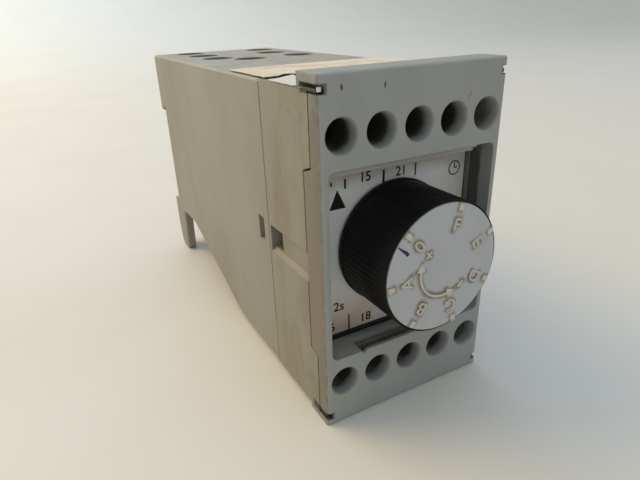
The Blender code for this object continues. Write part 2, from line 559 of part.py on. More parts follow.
def make_rear_casing(timer, material):
    """The rear casing: an open-fronted shell with the rail recess, the fixed hook, two legs and vents."""
    def long_edge(a, b):
        on_side = abs(a.x - b.x) < MM / 10 and (a.x < MM / 10 or a.x > WIDTH - MM / 10)
        at_front = a.y < CASING_FRONT_Y + MM / 10 and b.y < CASING_FRONT_Y + MM / 10
        middle = (a + b) / 2
        in_recess = RAIL_LOW_Z - MM < middle.z < RAIL_HIGH_Z + MM / 2 and middle.y > RECESS_Y - MM
        return on_side and not at_front and not in_recess
    shape = soften(prism(casing_side_view(), "X", 0, WIDTH), long_edge, LONG_EDGE, 1)
    casing = timer.add("rear_casing", shape, material)
    hollow = [
        (SEAM_Y - 2 * MM, BODY_BOTTOM + WALL), (SLOPE_START_Y - WALL / 4, BODY_BOTTOM + WALL),
        (BODY_DEPTH - SLOPE_MID_SHORT - WALL / 3, SLOPE_MID_Z + FLOOR_WALL),
        (REAR_FLOOR_Y - WALL / 4, REAR_FLOOR_Z + FLOOR_WALL), (RECESS_Y - WALL, REAR_FLOOR_Z + FLOOR_WALL),
        (RECESS_Y - WALL, RAIL_HIGH_Z + WALL), (BODY_DEPTH - WALL, RAIL_HIGH_Z + WALL),
        (BODY_DEPTH - WALL, BODY_TOP - WALL),
        (SEAM_Y - 2 * MM, BODY_TOP - WALL),
    ]
    timer.cut(casing, "hollow", prism(hollow, "X", WALL, WIDTH - WALL))
    timer.cut(casing, "latch_bay", block((LEG_WIDTH, LEG_FRONT_Y - 2 * CORNER, -MM),
                                         (WIDTH - LEG_WIDTH, BODY_DEPTH + MM, REAR_FLOOR_Z)))
    timer.cut(casing, "latch_bay_back", block((LEG_WIDTH, RECESS_Y, REAR_FLOOR_Z - MM),
                                              (WIDTH - LEG_WIDTH, BODY_DEPTH + MM, RAIL_LOW_Z - GAP)))
    windows = [block((low, SNAP_WINDOW_Y[0], SNAP_WINDOW_Z[0]), (high, SNAP_WINDOW_Y[1], SNAP_WINDOW_Z[1]))
               for low, high in ((-MM, WALL + MM), (WIDTH - WALL - MM, WIDTH + MM))]
    timer.cut(casing, "snap_windows", *windows)
    timer.cut(casing, "vents", *[
        rod("Z", (CENTRE_X - left, BODY_DEPTH - short), VENT_R, BODY_TOP - WALL - MM, BODY_TOP + MM, 28)
        for left, short in VENTS])
    ribs = []
    for x in (MAIN_BOARD_X - GAP - RIB, MAIN_BOARD_X + BOARD + GAP):
        ribs.append(block((x, MAIN_BOARD_Y + 5 * MM, MAIN_BOARD_Z[1] - MM),
                          (x + RIB, MAIN_BOARD_Y + 5 * MM + RIB_LENGTH[0], BODY_TOP - WALL / 2)))
        ribs.append(block((x, REAR_FLOOR_Y + MM, REAR_FLOOR_Z + WALL / 2),
                          (x + RIB, REAR_FLOOR_Y + MM + RIB_LENGTH[1], MAIN_BOARD_Z[0] + MM)))
    timer.join(casing, "board_guides", *ribs)
    timer.join(casing, "spring_peg", rod("Z", (CENTRE_X, SPRING_Y), PEG_R, REAR_FLOOR_Z - PEG_LENGTH,
                                         REAR_FLOOR_Z + WALL / 2, 12))


def make_rail_latch(timer, material, steel):
    """The sliding rail latch under the recess, and the spring that pulls it up."""
    front, back = RECESS_Y - LATCH_THICKNESS, BODY_DEPTH - GAP
    behind_wall = RECESS_Y + GAP
    nose_top = RAIL_LOW_Z + LATCH_NOSE
    outline = [
        (front, LATCH_FOOT_Z), (BODY_DEPTH - HEEL[0], LATCH_FOOT_Z), (back - HEEL[1], HEEL[2] + GAP),
        (back, HEEL[3]), (back, nose_top - CORNER), (back - CORNER, nose_top),
        (RECESS_Y + RAIL_FLANGE, nose_top), (RECESS_Y + RAIL_FLANGE, RAIL_LOW_Z - GAP),
        (behind_wall, RAIL_LOW_Z - GAP), (behind_wall, REAR_FLOOR_Z - 2 * GAP), (front, REAR_FLOOR_Z - 2 * GAP),
    ]
    latch = timer.add("rail_latch", prism(
        outline, "X", CENTRE_X - LATCH_HALF_WIDTH, CENTRE_X + LATCH_HALF_WIDTH), material)
    shelf_y = SPRING_Y - SPRING_R - MM
    shelf_top = LATCH_FOOT_Z + LATCH_SHELF
    timer.join(latch, "shelf", block((CENTRE_X - LATCH_SHELF_HALF, shelf_y, LATCH_FOOT_Z),
                                      (CENTRE_X + LATCH_SHELF_HALF, front + MM, shelf_top)))
    timer.join(latch, "peg", rod("Z", (CENTRE_X, SPRING_Y), PEG_R, shelf_top - MM, shelf_top + PEG_LENGTH, 12))
    wall, slot_width, slot_depth = DRIVER_SLOT
    timer.cut(latch, "driver_slot", block(
        (CENTRE_X - DRIVER_SLOT_HALF, front + wall, -MM),
        (CENTRE_X + DRIVER_SLOT_HALF, front + wall + slot_width, LATCH_FOOT_Z + slot_depth)))
    low, high = shelf_top + SPRING_WIRE_R + GAP, REAR_FLOOR_Z - SPRING_WIRE_R - GAP
    curve = bpy.data.curves.new("latch_spring", "CURVE")
    curve.dimensions = "3D"
    curve.bevel_depth = SPRING_WIRE_R
    curve.bevel_resolution = 1
    curve.use_fill_caps = True
    steps = SPRING_TURNS * SPRING_STEPS
    line = curve.splines.new("POLY")
    line.points.add(steps)
    for i, point in enumerate(line.points):
        angle = 2 * math.pi * SPRING_TURNS * i / steps
        point.co = (SPRING_R * math.cos(angle), SPRING_R * math.sin(angle), (high - low) * i / steps, 1.0)
    curve.materials.append(steel)
    spring = bpy.data.objects.new("latch_spring", curve)
    spring.parent = timer.frame
    spring.location = (CENTRE_X, SPRING_Y, low)
    bpy.context.scene.collection.objects.link(spring)


def make_paper_label(timer, material):
    """The paper label on top, across the seam."""
    low = BODY_TOP + LABEL_GAP
    timer.add("paper_label", block((LABEL_INSET, LABEL_Y[0], low),
                                   (WIDTH - LABEL_INSET, LABEL_Y[1], low + LABEL_THICKNESS)), material)


# ---------------------------------------------------------------- terminals

def make_terminals(timer, brass, steel):
    """Ten terminals, each a contact bar, a clamping plate that lifts, and its screw."""
    for number, x, side in terminal_places():
        z = MIDDLE_Z + side * TERMINAL_RISE
        low, high = z - CLAMP_HALF, z + CLAMP_HALF
        hole = rod("Y", (x, z), SCREW_SHANK_R + GAP, 0, SEAM_Y, 16)
        contact = timer.add(f"contact_bar_{number}", block(
            (x - CLAMP_HALF, CONTACT_Y, low), (x + CLAMP_HALF, CONTACT_Y + CONTACT_THICKNESS, high)), brass)
        tail_z = z - side * (CLAMP_HALF - CONTACT_THICKNESS / 2)
        timer.join(contact, "tail", block(
            (x - CONTACT_TAIL_HALF, CONTACT_Y + CONTACT_THICKNESS / 2, tail_z - CONTACT_THICKNESS / 2),
            (x + CONTACT_TAIL_HALF, TERMINAL_BOARD_Y - GAP, tail_z + CONTACT_THICKNESS / 2)))
        timer.cut(contact, "hole", hole)
        plate = timer.add(f"clamp_plate_{number}", soften(
            block((x - CLAMP_HALF, CLAMP_Y, low), (x + CLAMP_HALF, CLAMP_Y + CLAMP_THICKNESS, high)),
            lambda a, b: abs(a.y - b.y) > MM / 2, CLAMP_CORNER, 1), steel, (x, CLAMP_Y, z))
        timer.cut(plate, "hole", rod("Y", (x, z), SCREW_SHANK_R + GAP, 0, SEAM_Y, 16))
        neck, end = SCREW_HEAD_Y + SCREW_HEAD_LENGTH, SCREW_HEAD_Y + SCREW_LENGTH
        screw = timer.add(f"terminal_screw_{number}", turned([
            (0.0, SCREW_HEAD_Y), (SCREW_HEAD_R - HEAD_ROUND, SCREW_HEAD_Y),
            (SCREW_HEAD_R, SCREW_HEAD_Y + HEAD_ROUND), (SCREW_HEAD_R, neck), (SCREW_SHANK_R, neck),
            (SCREW_SHANK_R, end - SCREW_CHAMFER), (SCREW_SHANK_R - SCREW_CHAMFER, end), (0.0, end),
        ], (x, z), 16), steel, (x, SCREW_HEAD_Y, z), smooth=True)
        timer.cut(screw, "slot", block(
            (x - SCREW_HEAD_R - MM, SCREW_HEAD_Y - MM, z - SCREW_SLOT_WIDTH / 2),
            (x + SCREW_HEAD_R + MM, SCREW_HEAD_Y + SCREW_SLOT_DEPTH, z + SCREW_SLOT_WIDTH / 2)))


# ---------------------------------------------------------------- knob and potentiometer

def make_knob(timer, black, pale):
    """The fluted black knob and the pale cap with its seven marks."""
    axis = (CENTRE_X, MIDDLE_Z)
    step = math.pi / KNOB_FLUTES
    teeth = []
    for i in range(2 * KNOB_FLUTES):
        radius = KNOB_R - KNOB_FLUTE_DEPTH * (i % 2)
        teeth.append((CENTRE_X + radius * math.cos(i * step), MIDDLE_Z + radius * math.sin(i * step)))
    knob = timer.add("knob", prism(teeth, "Y", KNOB_FRONT_Y + KNOB_RIM, KNOB_BACK_Y - KNOB_RIM / 2), black,
                     (CENTRE_X, 0, MIDDLE_Z), smooth=True)
    timer.join(knob, "rims",
               rod("Y", axis, KNOB_R - KNOB_FLUTE_DEPTH, KNOB_FRONT_Y, KNOB_FRONT_Y + 2 * KNOB_RIM,
                   KNOB_FLUTES),
               rod("Y", axis, KNOB_R, KNOB_BACK_Y - KNOB_RIM, KNOB_BACK_Y, KNOB_FLUTES))
    timer.cut(knob, "inside", turned([
        (KNOB_HUB_R, KNOB_BACK_Y + MM), (KNOB_HUB_R, POCKET_Y + KNOB_WEB),
        (KNOB_R - KNOB_WALL, POCKET_Y + KNOB_WEB), (KNOB_R - KNOB_WALL, KNOB_BACK_Y + MM)],
        axis, KNOB_FLUTES))
    timer.cut(knob, "front_pocket", rod("Y", axis, CAP_R + GAP, KNOB_FRONT_Y - MM, POCKET_Y, KNOB_FLUTES))
    timer.cut(knob, "shaft_hole", rod("Y", axis, SHAFT_R + GAP, SHAFT_FRONT_Y - GAP, KNOB_BACK_Y + MM))
    timer.cut(knob, "hub_end", rod("Y", axis, KNOB_HUB_R + GAP, KNOB_HUB_BACK_Y, KNOB_BACK_Y + MM))
    cap = timer.add("knob_cap", rod("Y", axis, CAP_R, CAP_FACE_Y, CAP_FACE_Y + CAP_THICKNESS, 48), pale,
                    (CENTRE_X, CAP_FACE_Y, MIDDLE_Z), smooth=True)
    ticks = []
    for i in range(MARK_COUNT):
        tick = block((CAP_R - CAP_SIDE / 2 - MARK_LENGTH, CAP_FACE_Y - MARK_HEIGHT, -MARK_WIDTH / 2),
                     (CAP_R - CAP_SIDE / 2, CAP_FACE_Y + MM / 2, MARK_WIDTH / 2))
        turn = Matrix.Rotation(-(MARK_FIRST + i * MARK_STEP), 4, "Y")
        bmesh.ops.transform(tick, matrix=Matrix.Translation((CENTRE_X, 0, MIDDLE_Z)) @ turn, verts=tick.verts)
        ticks.append(tick)
    timer.join(cap, "ticks", *ticks)


def make_potentiometer(timer, brass, steel, dark):
    """The potentiometer: body, threaded bush, washer, nut and the shaft that carries the knob."""
    axis = (CENTRE_X, MIDDLE_Z)
    pot = timer.add("pot_body", rod("Y", axis, POT_R, POT_Y, POT_Y + POT_LENGTH, 32), dark, smooth=True)
    timer.cut(pot, "shaft_bore", rod("Y", axis, SHAFT_R + GAP, POT_Y - MM, POT_Y + POT_LENGTH - POT_FLOOR))
    bush = timer.add("pot_bush", rod("Y", axis, BUSH_R, BUSH_FRONT_Y, POT_Y - GAP, 28), brass, smooth=True)
    timer.cut(bush, "bore", rod("Y", axis, SHAFT_R + GAP, 0, SEAM_Y))
    nut = timer.add("pot_nut", prism(circle(NUT_R, axis, 6), "Y", *NUT_Y), steel)
    timer.cut(nut, "bore", rod("Y", axis, BUSH_R + GAP, 0, SEAM_Y, 28))
    washer_back = WASHER_Y + WASHER_THICKNESS
    washer = timer.add("pot_washer", rod("Y", axis, WASHER_R, WASHER_Y, washer_back, 32), steel)
    timer.cut(washer, "bore", rod("Y", axis, BUSH_R + GAP, 0, SEAM_Y, 28))
    shaft_back = POT_Y + POT_LENGTH - POT_FLOOR - GAP
    shaft = timer.add("pot_shaft", rod("Y", axis, SHAFT_R, SHAFT_FRONT_Y, shaft_back, 24), steel,
                      (CENTRE_X, 0, MIDDLE_Z), smooth=True)
    timer.cut(shaft, "flat", block((0, SHAFT_FRONT_Y - MM, MIDDLE_Z + SHAFT_R - SHAFT_FLAT),
                                   (WIDTH, KNOB_HUB_BACK_Y, MIDDLE_Z + 2 * SHAFT_R)))


# ---------------------------------------------------------------- plates, boards and their parts

def make_plates(timer, white, green):
    """The printed scale plate, the front board, the terminal board and the main board."""
    axis = (CENTRE_X, MIDDLE_Z)
    edge = SIDE_WALL + GAP
    half = BANK_INNER_RISE - GAP
    plate = timer.add("scale_plate", block(
        (edge, PLATE_Y, MIDDLE_Z - half), (WIDTH - edge, PLATE_Y + PLATE_THICKNESS, MIDDLE_Z + half)), white)
    timer.cut(plate, "hole", rod("Y", axis, PLATE_HOLE_R, 0, SEAM_Y, 32))
    half = BANK_INNER_RISE - 2 * GAP
    front = timer.add("front_board", block((edge, FRONT_BOARD_Y, MIDDLE_Z - half),
                                           (WIDTH - edge, FRONT_BOARD_Y + BOARD, MIDDLE_Z + half)), green)
    timer.cut(front, "hole", rod("Y", axis, BUSH_R + GAP, 0, SEAM_Y, 28))
    inset_x, inset_z = TERMINAL_BOARD_INSET
    timer.add("terminal_board", block(
        (inset_x, TERMINAL_BOARD_Y, inset_z),
        (WIDTH - inset_x, TERMINAL_BOARD_Y + BOARD, COVER_HEIGHT - inset_z)), green)
    timer.add("main_board", block((MAIN_BOARD_X, MAIN_BOARD_Y, MAIN_BOARD_Z[0]),
                                  (MAIN_BOARD_X + BOARD, MAIN_BOARD_END_Y, MAIN_BOARD_Z[1])), green)


def make_transformer(timer, iron, copper):
    """The mains transformer: a laminated core with two windows and the winding on its middle limb."""
    low = Vector((COMPONENT_X, TRANSFORMER_Y, MIDDLE_Z - TRANSFORMER_DROP))
    high = low + Vector(TRANSFORMER_SIZE)
    core = timer.add("transformer_core", block(low, high), iron)
    middle_y = (low.y + high.y) / 2
    for name, side in (("front", -1), ("back", 1)):
        ends = sorted((middle_y + side * LIMB_HALF, middle_y + side * (LIMB_HALF + CORE_WINDOW)))
        timer.cut(core, f"{name}_window", block((low.x - MM, ends[0], low.z + YOKE),
                                                (high.x + MM, ends[1], high.z - YOKE)))
    reach = LIMB_HALF + CORE_WINDOW - GAP
    inner = LIMB_HALF + GAP
    winding = timer.add("transformer_winding", block(
        (low.x, middle_y - reach, low.z + YOKE + GAP),
        (high.x + WINDING_PROUD, middle_y + reach, high.z - YOKE - GAP)), copper)
    timer.cut(winding, "limb", block(
        (low.x - MM, middle_y - inner, 0), (high.x + GAP, middle_y + inner, COVER_HEIGHT)))


def make_relay(timer, clear, dark, copper, iron):
    """The output relay: base, cover, coil and the armature that tips."""
    low = Vector((COMPONENT_X, RELAY_Y, MIDDLE_Z - RELAY_DROP))
    high = low + Vector(RELAY_SIZE)
    middle_z = (low.z + high.z) / 2
    inside_x = low.x + RELAY_BASE + GAP
    timer.add("relay_base", block(low, (low.x + RELAY_BASE, high.y, high.z)), dark)
    cover = timer.add("relay_cover", block((inside_x, low.y, low.z), high), clear)
    timer.cut(cover, "hollow", block((low.x, low.y + RELAY_SKIN, low.z + RELAY_SKIN),
                                     (high.x - RELAY_SKIN, high.y - RELAY_SKIN, high.z - RELAY_SKIN)))
    plate_x = high.x - RELAY_SKIN - ARMATURE_ROOM
    coil_place = (low.y + COIL_R + 2 * RELAY_SKIN, middle_z)
    timer.add("relay_coil", rod("X", coil_place, COIL_R, inside_x, plate_x - GAP, 24), copper, smooth=True)
    pivot = (plate_x + ARMATURE_THICKNESS / 2, high.y - ARMATURE_SHORT, middle_z)
    timer.add("relay_armature", block(
        (plate_x, low.y + ARMATURE_SHORT, middle_z - ARMATURE_HALF),
        (plate_x + ARMATURE_THICKNESS, pivot[1] + ARMATURE_THICKNESS / 2, middle_z + ARMATURE_HALF)),
        iron, pivot)


def make_small_parts(timer, colours):
    """Capacitors, the timer chip, the rectifier and two resistors, all on the main board."""
    for number, rise_z in enumerate(CAN_RISE, 1):
        y, z = SMALL_PARTS_Y, MIDDLE_Z + rise_z
        can = timer.add(f"smoothing_capacitor_{number}",
                        rod("X", (y, z), CAN_R, COMPONENT_X, COMPONENT_X + CAN_LENGTH, 24),
                        colours["can"], smooth=True)
        start = COMPONENT_X + CAN_GROOVE_AT
        end = start + GROOVE_WIDTH
        groove = turned([(CAN_R - GROOVE_DEPTH, start), (CAN_R + MM, start), (CAN_R + MM, end),
                         (CAN_R - GROOVE_DEPTH, end)], (0, 0), 24)
        turn = Matrix.Translation((0, y, z)) @ Matrix.Rotation(-math.pi / 2, 4, "Z")
        bmesh.ops.transform(groove, matrix=turn, verts=groove.verts)
        timer.cut(can, "groove", groove)

    film = Vector((COMPONENT_X, SMALL_PARTS_Y - CAN_R, MIDDLE_Z + FILM_RISE))
    timer.add("film_capacitor", soften(
        block(film, film + Vector(FILM_SIZE)), lambda a, b: True, FILM_CORNER, 1), colours["film"])

    chip = Vector((COMPONENT_X + CHIP_STAND, RELAY_Y + 4 * MM, MIDDLE_Z + FILM_RISE + GAP))
    body = timer.add("timer_chip", block(chip, chip + Vector(CHIP_SIZE)), colours["chip"])
    pins = []
    for i in range(CHIP_PINS):
        y = chip.y + CHIP_SIZE[1] / 2 + (i - (CHIP_PINS - 1) / 2) * CHIP_PITCH
        for z in (chip.z, chip.z + CHIP_SIZE[2]):
            pins.append(block((COMPONENT_X, y - PIN_WIDTH / 2, z - PIN_THICKNESS),
                              (chip.x + CHIP_SIZE[0] / 2, y + PIN_WIDTH / 2, z + PIN_THICKNESS)))
    timer.join(body, "pins", *pins)

    top = COMPONENT_X + RECTIFIER_HEIGHT
    timer.add("rectifier", soften(
        rod("X", (TRANSFORMER_Y + 2 * RECTIFIER_R, MAIN_BOARD_Z[1] - RECTIFIER_R - 2 * GAP), RECTIFIER_R,
            COMPONENT_X, top, 20),
        lambda a, b: min(a.x, b.x) > top - MM, RECTIFIER_CORNER, 1), colours["chip"], smooth=True)

    for number, rise_z in enumerate(RESISTOR_RISE, 1):
        place = (COMPONENT_X + RESISTOR_R + GAP, MIDDLE_Z + rise_z)
        y = SMALL_PARTS_Y - RESISTOR_LENGTH / 2
        body = timer.add(f"resistor_{number}", rod("Y", place, RESISTOR_R, y, y + RESISTOR_LENGTH, 12),
                         colours["film"], smooth=True)
        timer.join(body, "leads", rod(
            "Y", place, LEAD_R, y - LEAD_LENGTH, y + RESISTOR_LENGTH + LEAD_LENGTH, 8))


def main():
    """Build every piece of the timer."""
    clear_scene()
    front_reach = -CAP_FACE_Y + MARK_HEIGHT
    timer = Assembly((-CENTRE_X, (front_reach - BODY_DEPTH) / 2, 0))
    grey = finish("cover_plastic", (0.50, 0.49, 0.43), 0.45)
    beige = finish("casing_plastic", (0.47, 0.44, 0.35), 0.5)
    black = finish("knob_plastic", (0.01, 0.01, 0.012), 0.4)
    pale = finish("cap_plastic", (0.45, 0.46, 0.48), 0.4)
    white = finish("plate_print", (0.66, 0.64, 0.58), 0.4)
    steel = finish("zinc_steel", (0.55, 0.55, 0.52), 0.35, 1.0)
    brass = finish("tinned_brass", (0.70, 0.58, 0.32), 0.35, 1.0)
    green = finish("board_laminate", (0.05, 0.22, 0.10), 0.5)
    copper = finish("copper_wire", (0.60, 0.24, 0.10), 0.35, 1.0)
    iron = finish("core_iron", (0.20, 0.20, 0.21), 0.5, 1.0)
    dark = finish("dark_plastic", (0.03, 0.03, 0.03), 0.5)
    clear = finish("relay_plastic", (0.10, 0.12, 0.30), 0.3)
    paper = finish("label_paper", (0.62, 0.58, 0.46), 0.8)
    colours = {"can": finish("capacitor_sleeve", (0.03, 0.05, 0.18), 0.3),
               "film": finish("film_plastic", (0.45, 0.18, 0.05), 0.4),
               "chip": finish("chip_plastic", (0.02, 0.02, 0.02), 0.45)}
    make_front_cover(timer, grey)
    make_terminal_block(timer, beige)
    make_rear_casing(timer, beige)
    make_rail_latch(timer, beige, steel)
    make_paper_label(timer, paper)
    make_terminals(timer, brass, steel)
    make_knob(timer, black, pale)
    make_potentiometer(timer, brass, steel, dark)
    make_plates(timer, white, green)
    make_transformer(timer, iron, copper)
    make_relay(timer, clear, dark, copper, iron)
    make_small_parts(timer, colours)


main()
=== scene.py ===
"""Looks of a rail-mounted timer: moulded shells, setting knob, printed scale, label, terminals and studio.

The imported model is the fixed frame. Every size and place here comes from its boxes or is a named value in
millimetres, and each piece rides on the body that carries it.
"""

from __future__ import annotations

import logging
import math
from contextlib import contextmanager
from dataclasses import dataclass
from enum import Enum
from typing import Callable, Iterator, Sequence

import bmesh
import bpy
from mathutils import Matrix, Vector, noise
from mathutils.kdtree import KDTree

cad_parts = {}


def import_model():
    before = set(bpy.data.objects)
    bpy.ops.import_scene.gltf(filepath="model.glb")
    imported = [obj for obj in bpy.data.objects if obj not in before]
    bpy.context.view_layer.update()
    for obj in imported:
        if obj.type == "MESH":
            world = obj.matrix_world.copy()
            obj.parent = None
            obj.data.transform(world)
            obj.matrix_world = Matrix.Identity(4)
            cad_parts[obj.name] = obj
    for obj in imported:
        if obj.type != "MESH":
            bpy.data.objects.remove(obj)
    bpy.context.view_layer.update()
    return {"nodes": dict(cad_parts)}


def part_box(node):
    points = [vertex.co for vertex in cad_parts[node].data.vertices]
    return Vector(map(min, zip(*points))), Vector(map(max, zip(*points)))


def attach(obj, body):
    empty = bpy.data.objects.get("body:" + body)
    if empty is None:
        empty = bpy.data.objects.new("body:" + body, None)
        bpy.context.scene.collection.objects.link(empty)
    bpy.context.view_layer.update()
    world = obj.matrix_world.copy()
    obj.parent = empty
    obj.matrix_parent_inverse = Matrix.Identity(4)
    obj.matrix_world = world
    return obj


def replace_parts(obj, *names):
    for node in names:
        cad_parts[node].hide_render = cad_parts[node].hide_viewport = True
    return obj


LOG = logging.getLogger("rail_timer")
MM = 0.001
NOISE_SEED = 5  # fixes how the torn edges wander
CAPITAL = 0.70  # height of a capital, as a share of the font's size
SAME_PLACE = MM / 1000  # corners closer than this are one corner
UPRIGHT = Matrix.Rotation(math.pi / 2, 4, "X")
Piece = bpy.types.Object
Shape = bmesh.types.BMesh
Feed = bpy.types.NodeSocket
Tree = bpy.types.NodeTree
Triple = tuple[float, float, float]
Colour = Triple
Rule = Callable[[Vector, Vector], bool]
ShadeAndStainBox = tuple[Triple, Triple, Colour]
Scuff = tuple[Colour, Triple, Triple, float]


def mm(*values: float) -> tuple[float, ...]:
    """Return millimetres in metres."""
    return tuple(value * MM for value in values)


def linear(channel: float) -> float:
    """Turn a display channel, 0 to 1, into the linear value that a shader takes."""
    return channel / 12.92 if channel <= 0.04045 else ((channel + 0.055) / 1.055) ** 2.4


def tint(red: int, green: int, blue: int) -> Colour:
    """Turn a display colour, 0 to 255 a channel, into a linear one."""
    return linear(red / 255), linear(green / 255), linear(blue / 255)


# ---------------------------------------------------------------- bench: modelling with operators

def deselect() -> None:
    """Leave nothing selected."""
    bpy.ops.object.select_all(action="DESELECT")


def activate(*pieces: Piece) -> None:
    """Select these pieces only and make the first one active.

    Args:
        pieces: The pieces to work on.
    """
    deselect()
    for piece in pieces:
        piece.select_set(True)
    bpy.context.view_layer.objects.active = pieces[0]


def apply_moves() -> None:
    """Put the active piece's place, turn and scale in its mesh."""
    bpy.ops.object.transform_apply(location=True, rotation=True, scale=True)


def apply_modifier(piece: Piece, kind: str, **settings: object) -> None:
    """Add a modifier with these settings and apply it.

    Args:
        piece: The piece.
        kind: The modifier's type.
        settings: Its properties.
    """
    activate(piece)
    step = piece.modifiers.new(kind.lower(), kind)
    for key, value in settings.items():
        setattr(step, key, value)
    bpy.ops.object.modifier_apply(modifier=step.name)


def face_outwards() -> None:
    """Turn every face of the mesh in edit mode outwards."""
    bpy.ops.mesh.select_all(action="SELECT")
    bpy.ops.mesh.normals_make_consistent(inside=False)


@contextmanager
def editing(piece: Piece, mode: str = "FACE") -> Iterator[Shape]:
    """Open a piece in edit mode with nothing selected.

    Args:
        piece: The piece to edit.
        mode: VERT, EDGE or FACE.

    Yields:
        The mesh being edited, for choosing its parts.
    """
    activate(piece)
    bpy.ops.object.mode_set(mode="EDIT")
    bpy.ops.mesh.select_mode(type=mode)
    bpy.ops.mesh.select_all(action="DESELECT")
    yield bmesh.from_edit_mesh(piece.data)
    bpy.ops.object.mode_set(mode="OBJECT")


def pick_faces(piece: Piece, shape: Shape, rule: Rule) -> None:
    """Select the faces whose centre and normal a rule accepts.

    Args:
        piece: The piece in edit mode.
        shape: Its mesh.
        rule: Takes a face's centre and normal.
    """
    for face in shape.faces:
        face.select_set(rule(face.calc_center_median(), face.normal))
    bmesh.update_edit_mesh(piece.data)


def box(name: str, low: Vector, high: Vector) -> Piece:
    """Add a box between two corners, with its place in its mesh.

    Args:
        name: The piece's name.
        low: Lowest corner in metres.
        high: Highest corner in metres.

    Returns:
        The new piece.
    """
    deselect()
    bpy.ops.mesh.primitive_cube_add(size=1.0, location=(Vector(low) + Vector(high)) / 2)
    piece = bpy.context.object
    piece.name = name
    piece.scale = Vector(high) - Vector(low)
    apply_moves()
    return piece


@dataclass(frozen=True)
class Station:
    """One ring of a turned shape.

    Attributes:
        along: Distance along the axis in metres.
        radius: Radius in metres.
        fluted: Whether the ring carries the flutes.
    """

    along: float
    radius: float
    fluted: bool = False


def turned(name: str, axis: Vector, stations: Sequence[Station], segments: int) -> Piece:
    """Raise a circle ring by ring into a closed turned shape about a line along Y.

    Args:
        name: The piece's name.
        axis: A point on the axis; its y is ignored.
        stations: The rings in order, from one end of the profile to the other.
        segments: Corners in each ring.

    Returns:
        The new piece, with its faces outwards.
    """
    first = stations[0]
    deselect()
    bpy.ops.mesh.primitive_circle_add(
        vertices=segments, radius=first.radius, fill_type="NGON", location=(axis.x, first.along, axis.z),
        rotation=(math.pi / 2, 0, 0))
    piece = bpy.context.object
    piece.name = name
    apply_moves()
    with editing(piece, "EDGE"):
        bpy.ops.mesh.select_all(action="SELECT")
        for before, after in zip(stations, stations[1:]):
            step = (0.0, after.along - before.along, 0.0)
            bpy.ops.mesh.extrude_edges_move(TRANSFORM_OT_translate={"value": step})
            factor = after.radius / before.radius
            bpy.ops.transform.resize(value=(factor, 1.0, factor), center_override=(axis.x, 0.0, axis.z))
        bpy.ops.mesh.edge_face_add()
        face_outwards()
    return piece


def soften(piece: Piece, radius: float, segments: int = 2, angle: float = 30.0) -> None:
    """Round a piece's sharp edges and shade it smooth.

    Args:
        piece: The piece.
        radius: Width of the rounding in metres.
        segments: Steps across the rounding.
        angle: Edges sharper than this many degrees are rounded.
    """
    apply_modifier(piece, "BEVEL", width=radius, segments=segments, limit_method="ANGLE",
                   angle_limit=math.radians(angle), use_clamp_overlap=False, miter_outer="MITER_ARC")
    smooth(piece)


def smooth(piece: Piece, angle: float = 40.0) -> None:
    """Shade a piece smooth, but for edges sharper than an angle, with flat faces kept flat.

    Args:
        piece: The piece.
        angle: Degrees.
    """
    activate(piece)
    bpy.ops.object.shade_smooth_by_angle(angle=math.radians(angle))
    apply_modifier(piece, "WEIGHTED_NORMAL", keep_sharp=True)


def copy_of(node: str, name: str) -> Piece:
    """Copy a solid of the frame as one merged mesh of flat faces.

    Args:
        node: The frame's node.
        name: The copy's name.

    Returns:
        The copy, free of the frame.
    """
    activate(bpy.data.objects[node])
    bpy.ops.object.duplicate()
    piece = bpy.context.object
    piece.name = name
    piece.data.name = name
    piece.parent = None
    for key in list(piece.keys()):
        del piece[key]
    piece.data.materials.clear()
    with editing(piece, "VERT"):
        bpy.ops.mesh.select_all(action="SELECT")
        bpy.ops.mesh.customdata_custom_splitnormals_clear()
        bpy.ops.mesh.remove_doubles(threshold=SAME_PLACE)
        bpy.ops.mesh.dissolve_limited(angle_limit=math.radians(0.5))
        bpy.ops.mesh.select_all(action="SELECT")
        bpy.ops.mesh.quads_convert_to_tris(quad_method="BEAUTY", ngon_method="BEAUTY")
    return piece


def merge(name: str, pieces: Sequence[Piece]) -> Piece:
    """Join pieces into one.

    Args:
        name: The joined piece's name.
        pieces: The pieces, at least one.

    Returns:
        The joined piece.
    """
    activate(*pieces)
    if len(pieces) > 1:
        bpy.ops.object.join()
    piece = bpy.context.object
    piece.name = name
    return piece


def place(piece: Piece, where: Matrix) -> None:
    """Move a piece by a matrix and put the move in its mesh.

    Args:
        piece: The piece.
        where: The move.
    """
    activate(piece)
    piece.matrix_world = where @ piece.matrix_world
    apply_moves()


def lettering(text: str, height: float, depth: float, weight: float) -> Piece:
    """Make centred raised characters in the X-Y plane, facing +Z.

    Args:
        text: The characters.
        height: Height of a capital in metres.
        depth: How thick they are in metres.
        weight: How much the strokes are fattened, in metres.

    Returns:
        A mesh piece.
    """
    deselect()
    bpy.ops.object.text_add()
    piece = bpy.context.object
    piece.data.body = text
    piece.data.align_x = "CENTER"
    piece.data.size = height / CAPITAL
    piece.data.offset = weight
    piece.data.extrude = depth / 2
    piece.data.resolution_u = 5
    bpy.ops.object.convert(target="MESH")
    place(piece, Matrix.Translation((0.0, -height / 2, 0.0)))
    with editing(piece, "VERT"):
        bpy.ops.mesh.select_all(action="SELECT")
        bpy.ops.mesh.remove_doubles(threshold=2 * SAME_PLACE)
    return piece


def dress(piece: Piece, finish: "Finish", body: str) -> Piece:
    """Give a piece its finish and its body.

    Args:
        piece: The finished mesh.
        finish: Its finish.
        body: The body that carries it.

    Returns:
        The piece.
    """
    piece.data.materials.clear()
    piece.data.materials.append(finish.material())
    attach(piece, body)
    LOG.info("%s: %d faces on %s", piece.name, len(piece.data.polygons), body)
    return piece


